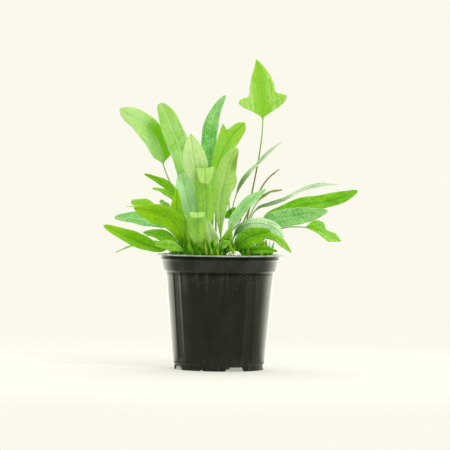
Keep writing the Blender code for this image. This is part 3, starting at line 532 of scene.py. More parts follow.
def plastic_material():
    """Satin black plastic with dust, dried drops, faint upright streaks, a painted highlight on the flange's
    edge and painted shade in the hollows.
    """
    material, tree, shader = new_material("black_plastic", {"IOR": 1.47, "Specular Tint": PLASTIC_SHINE})
    place = object_place(tree)
    height = height_of(tree, place)
    clouds = clouds_of(tree, 70.0, 0.3, 0.7)
    drops = specks_of(tree, 560.0, 0.30, 0.24)
    dust = specks_of(tree, 1300.0, 0.3, 0.10)
    stretched = put(tree, "ShaderNodeMapping", {"Vector": place, "Scale": (1.0, 1.0, 0.04)}).outputs[0]
    streaks = put(tree, "ShaderNodeTexNoise", {"Vector": stretched, "Scale": 240.0}).outputs[0]
    at_foot = ramp(tree, height, 0.016, 0.002)
    where = sum_up(tree, "ADD", band(tree, height, GRIMY), sum_up(tree, "MULTIPLY_ADD", at_foot, 0.8, 0.12))
    marks = times(tree, sum_up(tree, "MAXIMUM", drops, dust), where)
    film = times(tree, ramp(tree, streaks, 0.45, 0.8), times(tree, where, 0.06))
    haze = ramp(tree, clouds, 0.0, 1.0, 0.010, 0.030)
    film = sum_up(tree, "MULTIPLY_ADD", band(tree, height, COLLAR), haze, film)
    # painted highlight: the flange's edge is made paler in patches, standing in for the light it catches
    highlight_patches = ramp(tree, clouds, 0.0, 0.8, 0.45, 0.85)
    edge = times(tree, ramp(tree, height, 0.0985, 0.0989), highlight_patches)
    # the pale share mixes dust, drops and streaks with the painted highlight on the flange's edge
    pale = sum_up(tree, "ADD", sum_up(tree, "MULTIPLY_ADD", marks, 0.36, film), edge)
    # painted shade: the shine is turned down in the hollows under the flange and under the step
    step_shade = times(tree, band(tree, height, UNDER_STEP), 0.8)
    hollow_shade = sum_up(tree, "MAXIMUM", band(tree, height, UNDER_FLANGE), step_shade)
    tree.links.new(ramp(tree, hollow_shade, 0.0, 1.0, 0.5, 0.08), shader.inputs["Specular IOR Level"])
    black = blend(tree, clouds, (0.005, 0.007, 0.004, 1.0), (0.010, 0.013, 0.008, 1.0))
    tree.links.new(blend(tree, pale, black, tint(190, 204, 200)), shader.inputs["Base Color"])
    rough = ramp(tree, clouds, 0.0, 1.0, 0.14, 0.24)
    tree.links.new(sum_up(tree, "MULTIPLY_ADD", pale, 0.4, rough), shader.inputs["Roughness"])
    grain = put(tree, "ShaderNodeTexNoise", {"Vector": place, "Scale": 900.0, "Detail": 3.0}).outputs[0]
    relief = sum_up(tree, "MULTIPLY_ADD", marks, 0.6, times(tree, grain, 0.12))
    add_relief(tree, shader, relief, 0.35, 0.0002)
    return material


pot_draft = spun(pot_profile(), POT_STEPS)
press_flutes(pot_draft)
open_foot(pot_draft)
pot = settle("pot_moulding", cut_drains(pot_draft), plastic_material(), ["pot"])
print("pot faces:", len(pot.data.polygons))

# %% [markdown]
# ## The potting mix
# The fern grows in a coarse mix of bark, peat and white perlite that stops ten millimetres under the
# rim. A flat disc with a bumpy picture would look flat from the side. So the mix is a spun body whose
# top is pushed up and down by two sizes of noise, and real bits lie on it: chips of bark, made from
# cubes with bevelled edges, grains of perlite, made from small spheres, and tufts of moss. A few of
# the grains were spilled and lie in two small heaps on the rim.

# %% The body of the mix
SOIL_TOP = 90.0
MIX_RADIUS = 48.8
MIX_STEPS, MIX_RINGS = 160, 36
CRUMBLE_FROM, LUMPS = 88.0, ((7.0, 1.1), (2.2, 0.8))


def mix_profile():
    """Rings close together over the top, then straight down inside the pot."""
    top = []
    for ring in range(MIX_RINGS + 1):
        top.append((ring * MIX_RADIUS / MIX_RINGS, SOIL_TOP + 1.0 - (ring / MIX_RINGS) ** 3))
    return top + [(48.0, 87.2), (45.5, 84.2), (42.0, 45.0), (38.6, 7.4), (37.6, 5.8), (0.0, 5.8)]


def crumble(bm):
    """Pushes the top of the mix up and down, less towards the wall of the pot."""
    for vert in bm.verts:
        if vert.co.z < CRUMBLE_FROM * MM:
            continue
        spot = vert.co / MM
        lumps = sum(noise.noise(spot / size) * high for size, high in LUMPS)
        room = soft((MIX_RADIUS + 3.0 - spot.xy.length) / 8.0)
        vert.co.z += (lumps * room + 0.3) * MM


def bark_material():
    """Dark peat and bark, browner on the lumps and nearly black between them, with pale grit."""
    material, tree, shader = new_material("potting_mix", {"Roughness": 0.95, "Specular IOR Level": 0.3})
    clouds = clouds_of(tree, 160.0, 0.38, 0.62)
    fine = clouds_of(tree, 900.0, 0.3, 0.7)
    grit = specks_of(tree, 650.0, 0.42, 0.07)
    brown = blend(tree, clouds, tint(38, 28, 20), tint(98, 72, 48))
    brown = blend(tree, times(tree, fine, 0.45), brown, tint(30, 24, 18))
    tree.links.new(blend(tree, grit, brown, tint(206, 200, 186)), shader.inputs["Base Color"])
    add_relief(tree, shader, sum_up(tree, "ADD", fine, clouds), 0.8, 0.0006)
    return material


mix_draft = spun(mix_profile(), MIX_STEPS)
crumble(mix_draft)
mix = settle("mix_body", mix_draft, bark_material(), ["potting_mix"])
print("mix top in mm:", round(max(vert.co.z for vert in mix.data.vertices) / MM, 1))

# %% Places drawn at random
draw = random.Random(11)
CHIPS, GRAINS, TUFTS = 190, 80, 110
BITS_LIE = 0.9


def anywhere(reach):
    """A place on the mix, evenly drawn from a disc, at one fixed height near the top of the mix."""
    radius, angle = reach * math.sqrt(draw.random()), draw.random() * math.tau
    x, y = radius * math.cos(angle), radius * math.sin(angle)
    return Vector((x, y, SOIL_TOP + BITS_LIE))


def tumbled(place, size):
    """A matrix that puts a thing down at a place, turned at random, with a size along each axis."""
    lean = Matrix.Rotation(draw.uniform(-0.5, 0.5), 4, "X")
    lean = lean @ Matrix.Rotation(draw.uniform(-0.5, 0.5), 4, "Y")
    turn = Matrix.Rotation(draw.random() * math.tau, 4, "Z")
    return Matrix.Translation(place * MM) @ turn @ lean @ Matrix.Diagonal((*(Vector(size) * MM), 1.0))


print("loose bits lie at a height in mm of:", SOIL_TOP + BITS_LIE)

# %% Bark chips, perlite and moss


def bark_chips(count):
    """Flat splinters of bark: cubes stretched, turned and bevelled."""
    bm = bmesh.new()
    for _ in range(count):
        size = (draw.uniform(3, 8), draw.uniform(1.6, 3.6), draw.uniform(0.8, 1.8))
        bmesh.ops.create_cube(bm, size=1.0, matrix=tumbled(anywhere(44.0), size))
    for vert in bm.verts:
        vert.co += noise.noise_vector(vert.co / (3 * MM)) * 0.5 * MM
    bmesh.ops.bevel(bm, geom=bm.edges[:], offset=0.28 * MM, affect="EDGES", segments=1, profile=0.5,
                    material=-1)
    return bm


def perlite(count):
    """Round white grains with dents: most lie on the mix, the last ones in two heaps on the rim."""
    bm = bmesh.new()
    spilled = [Vector((x, -52.9, RIM + 0.3)) for x in (6.4, 8.2, 10.4, 12.8, 14.2, 15.7, 17.2)]
    spilled += [Vector((x, -52.7, RIM + 1.7)) for x in (7.4, 9.3, 13.6, 15.2, 16.5)]
    for place in [anywhere(45.0) for _ in range(count)] + spilled:
        size = draw.uniform(0.7, 1.5)
        if place.z > RIM:
            place.z += 0.8 * size
        bmesh.ops.create_icosphere(bm, subdivisions=2, radius=1.0,
                                   matrix=tumbled(place, (size, size, 0.8 * size)))
    for vert in bm.verts:
        vert.co += noise.noise_vector(vert.co / (1.3 * MM)) * 0.35 * MM
    return bm


def spike(bm, foot, tip, radius, sides=3):
    """One thin pointed leaf, hair or scale from its foot to its tip, in millimetres."""
    way = tip - foot
    place = Matrix.Translation((foot + way / 2) * MM) @ way.to_track_quat("Z", "Y").to_matrix().to_4x4()
    bmesh.ops.create_cone(bm, cap_ends=True, segments=sides, radius1=radius * MM, radius2=0.0,
                          depth=way.length * MM, matrix=place)


def moss(tufts):
    """Tufts of short green spikes that lean out from their middle."""
    bm = bmesh.new()
    for _ in range(tufts):
        middle, spread = anywhere(46.0), draw.uniform(1.5, 3.5)
        for _ in range(draw.randint(9, 18)):
            lean = Vector((draw.gauss(0, 1), draw.gauss(0, 1), 0))
            foot = middle + lean * spread * 0.4
            tip = foot + lean * 0.8 + Vector((0, 0, draw.uniform(2.0, 5.0)))
            spike(bm, foot, tip, draw.uniform(0.25, 0.45))
    return bm


def plain_mottled(name, dark, light, scale, roughness):
    """A dull finish whose tone drifts between two colours."""
    material, tree, shader = new_material(name, {"Roughness": roughness})
    clouds = clouds_of(tree, scale, 0.35, 0.65)
    tree.links.new(blend(tree, clouds, dark, light), shader.inputs["Base Color"])
    add_relief(tree, shader, clouds, 0.4, 0.0003)
    return material


CHIP_BROWN = plain_mottled("bark", tint(70, 48, 32), tint(128, 94, 64), 300.0, 0.9)
WHITE_GRAIN = plain_mottled("perlite", tint(214, 212, 200), tint(250, 250, 242), 500.0, 0.9)
MOSS_GREEN = plain_mottled("moss", tint(70, 108, 24), tint(140, 176, 52), 160.0, 0.8)
bits = [
    settle("bark_chips", bark_chips(CHIPS), CHIP_BROWN),
    settle("perlite", perlite(GRAINS), WHITE_GRAIN),
    settle("moss_tufts", moss(TUFTS), MOSS_GREEN),
]
print("faces of the bits on the mix:", {bit.name: len(bit.data.polygons) for bit in bits})

# %% [markdown]
# ## First leaves
# Between the feet of the old fronds a healthy fern is full of first leaves, each hardly longer than a
# fingernail. They could be flat cards, but from the side a card vanishes. Here each one is a small
# sphere that is pulled long, pressed flat, narrowed into a stalk below and bent outwards. Each leaf
# writes a tone of its own on its points, one golden-ratio step on from the last, so that no two are
# alike, and the finish is darker near the mix, where little light comes down.

# %% Grow the first leaves
FIRST_COUNT, FIRST_REACH = 640, 45.0
FRONT_BAND = (-34.0, -20.0)
TONE_STEP = 0.618034
GREEN_SHINE = (0.7, 0.9, 0.25, 1.0)


def first_leaf(bm, foot, height, half, turn, bend):
    """One small leaf that stands at its foot and leans towards the side it is turned to."""
    made = bmesh.ops.create_icosphere(bm, subdivisions=2, radius=1.0)["verts"]
    spin = Matrix.Rotation(turn, 3, "Z")
    for vert in made:
        share = (vert.co.z + 1) / 2
        wide = half * (0.2 + soft((share - 0.1) / 0.4)) * (1 - share ** 4)
        flat = Vector((vert.co.x * wide, vert.co.y * 0.3 - bend * share ** 2 + 0.12 * half * abs(vert.co.x),
                       share * height * (1 - 0.25 * share * bend / height)))
        vert.co = (foot + spin @ flat) * MM
    return made


def first_leaves(count):
    """Small leaves all over the mix, more of them near the rhizomes in front."""
    bm = bmesh.new()
    own_tone = bm.verts.layers.float.new("tone")
    for number in range(count):
        foot = anywhere(FIRST_REACH)
        if number % 2:
            foot.y = draw.uniform(*FRONT_BAND)
            foot.x = draw.uniform(-1.0, 1.0) * math.sqrt(FIRST_REACH ** 2 - foot.y ** 2)
        foot.z = SOIL_TOP
        turn = math.atan2(foot.x, -foot.y) + draw.gauss(0.0, 0.6)
        height = draw.uniform(11.0, 28.0)
        half, bend = draw.uniform(1.2, 3.0), height * draw.uniform(0.08, 0.36)
        made = first_leaf(bm, foot, height, half, turn, bend)
        for vert in made:
            vert[own_tone] = number * TONE_STEP % 1.0
    return bm


def first_leaf_material():
    """Fresh green with a tone for each leaf, a few of them still pale, and darker near the mix."""
    material, tree, shader = new_material("first_leaf", {
        "Roughness": 0.5, "Specular IOR Level": 0.35, "Specular Tint": GREEN_SHINE,
    })
    tone = own_value(tree, "tone")
    place = object_place(tree)
    height = height_of(tree, place)
    clouds = clouds_of(tree, 300.0, 0.35, 0.65)
    green = blend(tree, ramp(tree, tone, 0.1, 0.85), tint(62, 152, 4), tint(184, 236, 72))
    green = blend(tree, ramp(tree, tone, 0.93, 0.96), green, tint(214, 240, 156))
    green = blend(tree, times(tree, clouds, 0.3), green, tint(70, 150, 4))
    # painted shade: the leaves are darker near the mix, where little light comes down
    green = blend(tree, ramp(tree, height, 0.090, 0.104), tint(48, 116, 0), green)
    tree.links.new(green, shader.inputs["Base Color"])
    add_relief(tree, shader, clouds, 0.3, 0.0003)
    return material


first = settle("first_leaves", first_leaves(FIRST_COUNT), first_leaf_material())
print("first leaves reach in mm:", round(max(vert.co.z for vert in first.data.vertices) / MM, 1))

# %% [markdown]
# ## One way to make every stem and leaf
# A stem is a tube, and so is a leaf, if it is pressed flat. So each of them starts as a cylinder with
# loop cuts. `carried` then takes every point of the cylinder to its place: it tells a rule which ring
# the point is on and which step round the ring, and the rule answers with a place. A curve with a
# bevel would make a round stem too, but it can't turn into a blade half way up.

# %% A cylinder carried to its place


def carried(rings, around, rule, layers=()):
    """A closed tube whose point at a ring and a step goes where the rule says."""
    bm = bmesh.new()
    for layer in layers:
        bm.verts.layers.float.new(layer)
    bmesh.ops.create_cone(bm, cap_ends=True, segments=around, radius1=1.0, radius2=1.0, depth=rings - 1)
    upright = [edge for edge in bm.edges if abs(edge.verts[0].co.z - edge.verts[1].co.z) > 0.5]
    bmesh.ops.subdivide_edges(bm, edges=upright, cuts=rings - 2)
    marks = [bm.verts.layers.float[layer] for layer in layers]
    for vert in bm.verts:
        ring = round(vert.co.z + (rings - 1) / 2)
        step = round(math.atan2(vert.co.y, vert.co.x) / math.tau * around) % around
        place, *values = rule(ring, step)
        vert.co = place * MM
        for mark, value in zip(marks, values):
            vert[mark] = value
    return bm


print("tube tool ready")

# %% A smooth path
PATH_STEPS = 24


def eased(first, leave, second, arrive, share):
    """A point on a smooth curve between two places, left and reached at given speeds."""
    square, cube = share ** 2, share ** 3
    return (first * (2 * cube - 3 * square + 1) + leave * (cube - 2 * square + share)
            + second * (3 * square - 2 * cube) + arrive * (cube - square))


def smooth_path(points):
    """A smooth curve through points: close-set places, their lengths along it, and where the points are."""
    steps = [(b - a).length for a, b in zip(points, points[1:])]
    slopes = [(b - a) / step for a, b, step in zip(points, points[1:], steps)]
    speeds = [slopes[0]]
    for k in range(1, len(slopes)):
        mixed = slopes[k - 1] * steps[k] + slopes[k] * steps[k - 1]
        speeds.append(mixed / (steps[k - 1] + steps[k]))
    speeds.append(slopes[-1])
    places, marks, lengths = [points[0].copy()], [0], [0.0]
    for k, step in enumerate(steps):
        for part in range(1, PATH_STEPS + 1):
            leave, arrive = speeds[k] * step, speeds[k + 1] * step
            places.append(eased(points[k], leave, points[k + 1], arrive, part / PATH_STEPS))
            lengths.append(lengths[-1] + (places[-1] - places[-2]).length)
        marks.append(len(places) - 1)
    return places, lengths, marks


def along(path, length):
    """The place and the direction at a length along a smooth path."""
    places, lengths, _ = path
    number = 1
    while number < len(lengths) - 1 and lengths[number] < length:
        number += 1
    share = (length - lengths[number - 1]) / (lengths[number] - lengths[number - 1])
    place = places[number - 1].lerp(places[number], share)
    ahead = places[min(number + 1, len(places) - 1)] - places[max(number - 2, 0)]
    return place, ahead.normalized()


def carry_frames(spots, start, face):
    """Turns a first upper side along a path, so that it never spins round the path."""
    ups = [None] * len(spots)
    ahead = spots[start][1]
    ups[start] = (face - ahead * face.dot(ahead)).normalized()
    for k in range(start + 1, len(spots)):
        ups[k] = spots[k - 1][1].rotation_difference(spots[k][1]) @ ups[k - 1]
    for k in range(start - 1, -1, -1):
        ups[k] = spots[k + 1][1].rotation_difference(spots[k][1]) @ ups[k + 1]
    return ups


bow = [Vector((0, 0, 0)), Vector((10, 0, 10)), Vector((20, 0, 0))]
print("a bow over 20 mm is this long in mm:", round(smooth_path(bow)[1][-1], 1))

# %% A round stem


def off_axis(ahead, up, angle):
    """The direction that points away from a stem, at an angle round it."""
    return ahead.cross(up) * math.cos(angle) + up * math.sin(angle)


def round_stem(points, radius, around=16, spacing=1.0):
    """A round stem through points; radius is a rule from the share of the length to millimetres."""
    path = smooth_path([Vector(point) for point in points])
    length = path[1][-1]
    rings = max(4, round(length / spacing))
    spots = [along(path, length * k / (rings - 1)) for k in range(rings)]
    ups = carry_frames(spots, 0, Vector((0.3, -0.8, 0.5)))

    def rule(ring, step):
        place, ahead = spots[ring]
        angle = math.tau * step / around
        return (place + off_axis(ahead, ups[ring], angle) * radius(ring / (rings - 1), place, angle),)

    return carried(rings, around, rule), spots, ups


print("stem tools ready")

# %% [markdown]
# ## The rhizomes
# The fern creeps. Thick stems run along the top of the mix, clothed in papery golden-brown scales
# like fur, and every frond stands beside one. Particle hair would be quick, but it isn't a mesh. So a
# lumpy tube gives the stem, and many small spikes, each a cone of three sides, lie along it.

# %% Rhizomes and their scales
RHIZOME_HEIGHT, RHIZOME_RADIUS, RHIZOME_LUMPS = SOIL_TOP + 1.2, 3.2, 0.5
SCALES_A_STATION, SCALE_LONG, SCALE_SUNK = 12, 2.6, 0.92
RHIZOMES = {
    "front": [(-37, -18), (-24, -14), (-12, -17), (0, -13.5), (13, -17), (25, -13.5), (37, -16)],
    "back": [(-36, 11.5), (-24, 15.5), (-12, 12), (0, 15.5), (13, 12), (25, 16), (36, 13)],
    "far": [(-25, 31), (-13, 34.5), (0, 31.5), (13, 34.5), (25, 31)],
}


def rhizome(points):
    """A lumpy stem with rounded ends."""
    def radius(share, place, angle):
        end = min(share, 1 - share) * 12
        lump = noise.noise(place / 4.0 + Vector((math.cos(angle), math.sin(angle), 0)))
        return (RHIZOME_RADIUS + RHIZOME_LUMPS * lump) * min(1.0, math.sqrt(max(end, 0.02)))

    return round_stem([(x, y, RHIZOME_HEIGHT) for x, y in points], radius)


def clothe(bm, spots, ups, count, radius, long):
    """Lays scales all round a stem, their tips a little off it."""
    for _ in range(count):
        k = draw.randrange(2, len(spots) - 2)
        place, ahead = spots[k]
        angle = draw.uniform(0, math.tau)
        outward = off_axis(ahead, ups[k], angle)
        foot = place + outward * radius * SCALE_SUNK
        aside = Vector((draw.gauss(0, 0.3), draw.gauss(0, 0.3), draw.gauss(0, 0.2)))
        way = (ahead + outward * draw.uniform(0.15, 0.7) + aside).normalized()
        spike(bm, foot, foot + way * draw.uniform(0.6, 1.0) * long, draw.uniform(0.12, 0.24) * long / 2.4)


GOLD = plain_mottled("golden_scales", tint(104, 66, 28), tint(206, 158, 84), 700.0, 0.75)
for row, points in RHIZOMES.items():
    draft, spots, ups = rhizome(points)
    clothe(draft, spots, ups, SCALES_A_STATION * len(spots), RHIZOME_RADIUS, SCALE_LONG)
    stem = settle(f"scaly_rhizome_{row}", draft, GOLD, [f"rhizome_{row}"])
    print(stem.name, "faces:", len(stem.data.polygons))

# %% [markdown]
# ## The crozier
# A young frond comes up coiled like the head of a violin and covered in the same scales. It is a
# round stem again, along a path that stands up and then winds inwards.

# %% Make the crozier
SLOT_FIRST, SLOT_STEP, SLOT_ASIDE = -33.0, 7.2, 6.4
STIPE_FOOT, STIPE_CLEAR = 80.0, 92.5
COIL_HEIGHT, COIL_REACH, COIL_CLOSING, COIL_TURNS, COIL_POINTS = 100.0, 3.4, 1.9, 1.3, 16


def slot_place(row, number, side):
    """The x and y of a stipe's foot beside its rhizome: row, number from the left, and side."""
    x = SLOT_FIRST + SLOT_STEP * (number - 1)
    points = RHIZOMES[row]
    for (x0, y0), (x1, y1) in zip(points, points[1:]):
        if x <= x1:
            break
    return x, y0 + (y1 - y0) * (x - x0) / (x1 - x0) + side * SLOT_ASIDE


def crozier_points():
    """Straight up out of the mix, then one and a third turns inwards."""
    x, y = slot_place("front", 7, -1)
    points = [(x, y, STIPE_FOOT), (x, y, STIPE_CLEAR), (x, y, COIL_HEIGHT)]
    for k in range(1, COIL_POINTS + 1):
        angle = math.tau * COIL_TURNS * k / COIL_POINTS
        reach = COIL_REACH - COIL_CLOSING * k / COIL_POINTS
        points.append((x + COIL_REACH - reach * math.cos(angle), y, COIL_HEIGHT + reach * math.sin(angle)))
    return points


draft, spots, ups = round_stem(crozier_points(), lambda share, *_: 0.95 - 0.3 * share, spacing=0.5)
clothe(draft, spots, ups, count=160, radius=0.75, long=1.3)
YOUNG = plain_mottled("young_crozier", tint(120, 140, 40), tint(176, 196, 84), 500.0, 0.6)
crozier = settle("scaly_crozier", draft, YOUNG, ["crozier"])
print("crozier top in mm:", round(max(vert.co.z for vert in crozier.data.vertices) / MM, 1))

# %% [markdown]
# ## The fronds: the list
# Each frond is one piece: a thin round stipe that turns into a blade. Short blades are plain tongues,
# longer ones have wavy margins, and the oldest begin to lobe. Each entry of the list has the frond's
# name in the frame, without the word frond, and then: the rhizome's row, the place along it and the
# side where it stands, its colour, the number of the point where the blade starts, half its width and
# the way its upper side looks. What differs from the usual leaf comes after that, and last the points
# of its rib. The numbers are the frame's own, so that each leaf lies where the frame holds it.

# %% Outlines of the blades that aren't plain tongues
THREE_LOBED = [
    (0.00, 0.8, 0.8), (0.06, 2.2, 2.4), (0.11, 4.8, 5.0), (0.155, 8.8, 8.8), (0.195, 13.4, 12.8),
    (0.235, 17.0, 16.2), (0.27, 19.2, 18.8), (0.305, 20.4, 20.4), (0.335, 20.6, 21.4), (0.362, 19.8, 22.0),
    (0.385, 17.6, 21.8), (0.402, 14.2, 20.4), (0.418, 11.4, 17.4), (0.438, 10.8, 13.4), (0.47, 10.6, 12.2),
    (0.56, 9.8, 12.0), (0.66, 8.4, 10.8), (0.76, 6.5, 8.8), (0.87, 3.8, 5.6), (0.945, 1.9, 2.8),
    (1.00, 0.5, 0.5),
]
MITTEN = [
    (0.00, 0.8, 0.8), (0.08, 2.8, 2.6), (0.18, 4.8, 4.6), (0.30, 6.2, 6.2), (0.42, 7.6, 7.2),
    (0.52, 9.6, 7.8), (0.60, 11.6, 8.2), (0.67, 12.9, 8.2), (0.72, 8.6, 8.0), (0.78, 6.6, 7.8),
    (0.87, 5.6, 6.6), (0.95, 3.8, 4.6), (1.00, 0.8, 0.8),
]
SIDE_LOBED = [
    (0.00, 0.8, 0.8), (0.07, 3.4, 3.4), (0.16, 6.2, 6.4), (0.28, 8.2, 8.8), (0.40, 9.6, 9.8),
    (0.52, 11.0, 10.0), (0.61, 11.6, 9.6), (0.70, 10.4, 9.0), (0.79, 8.2, 7.6), (0.88, 5.8, 5.4),
    (0.95, 3.4, 3.2), (1.00, 0.5, 0.5),
]
BROAD_FOOT = [
    (0.00, 0.8, 0.8), (0.05, 3.6, 3.6), (0.10, 6.8, 6.8), (0.17, 9.0, 9.0), (0.28, 10.2, 10.2),
    (0.42, 10.6, 10.6), (0.58, 10.6, 10.4), (0.73, 9.8, 9.6), (0.85, 8.0, 7.6), (0.94, 5.0, 4.8),
    (1.00, 0.8, 0.8),
]
SPOON = [
    (0.00, 0.8, 0.8), (0.08, 1.7, 1.7), (0.17, 2.8, 2.8), (0.26, 4.6, 4.6), (0.36, 7.8, 7.8),
    (0.47, 10.2, 10.2), (0.58, 10.8, 10.8), (0.70, 9.8, 9.8), (0.82, 7.4, 7.4), (0.92, 4.2, 4.2),
    (1.00, 0.6, 0.6),
]
RIBBON = [
    (0.00, 0.8, 0.8), (0.08, 2.0, 2.0), (0.20, 2.6, 2.6), (0.34, 2.8, 2.8), (0.48, 2.9, 2.8),
    (0.62, 3.2, 3.0), (0.75, 3.3, 3.1), (0.87, 2.7, 2.5), (0.95, 1.7, 1.6), (1.00, 0.5, 0.5),
]
FORKED = [
    (0.00, 0.8, 0.8), (0.10, 4.0, 2.2), (0.22, 7.8, 3.6), (0.34, 9.8, 4.6), (0.43, 9.0, 5.4),
    (0.50, 5.6, 6.4), (0.62, 4.6, 7.6), (0.72, 4.8, 8.2), (0.80, 5.2, 5.6), (0.90, 3.2, 3.2),
    (1.00, 0.5, 0.5),
]


print("points in the three-lobed outline:", len(THREE_LOBED))

# %% The list of fronds
USUAL = {
    "outline": None, "fold": 12.0, "wave": 0.8, "waves": 2.0, "lead": 0.0, "widest": 0.9, "blunt": 0.75,
    "look": None, "tone": 0.0,
}


def frond(row, number, side, colour, blade, half, face, **more):
    """One entry of the list: what it says, and the usual values for what it leaves out."""
    return dict(USUAL, slot=(row, number, side), colour=colour, blade=blade, half=half, face=face, **more)


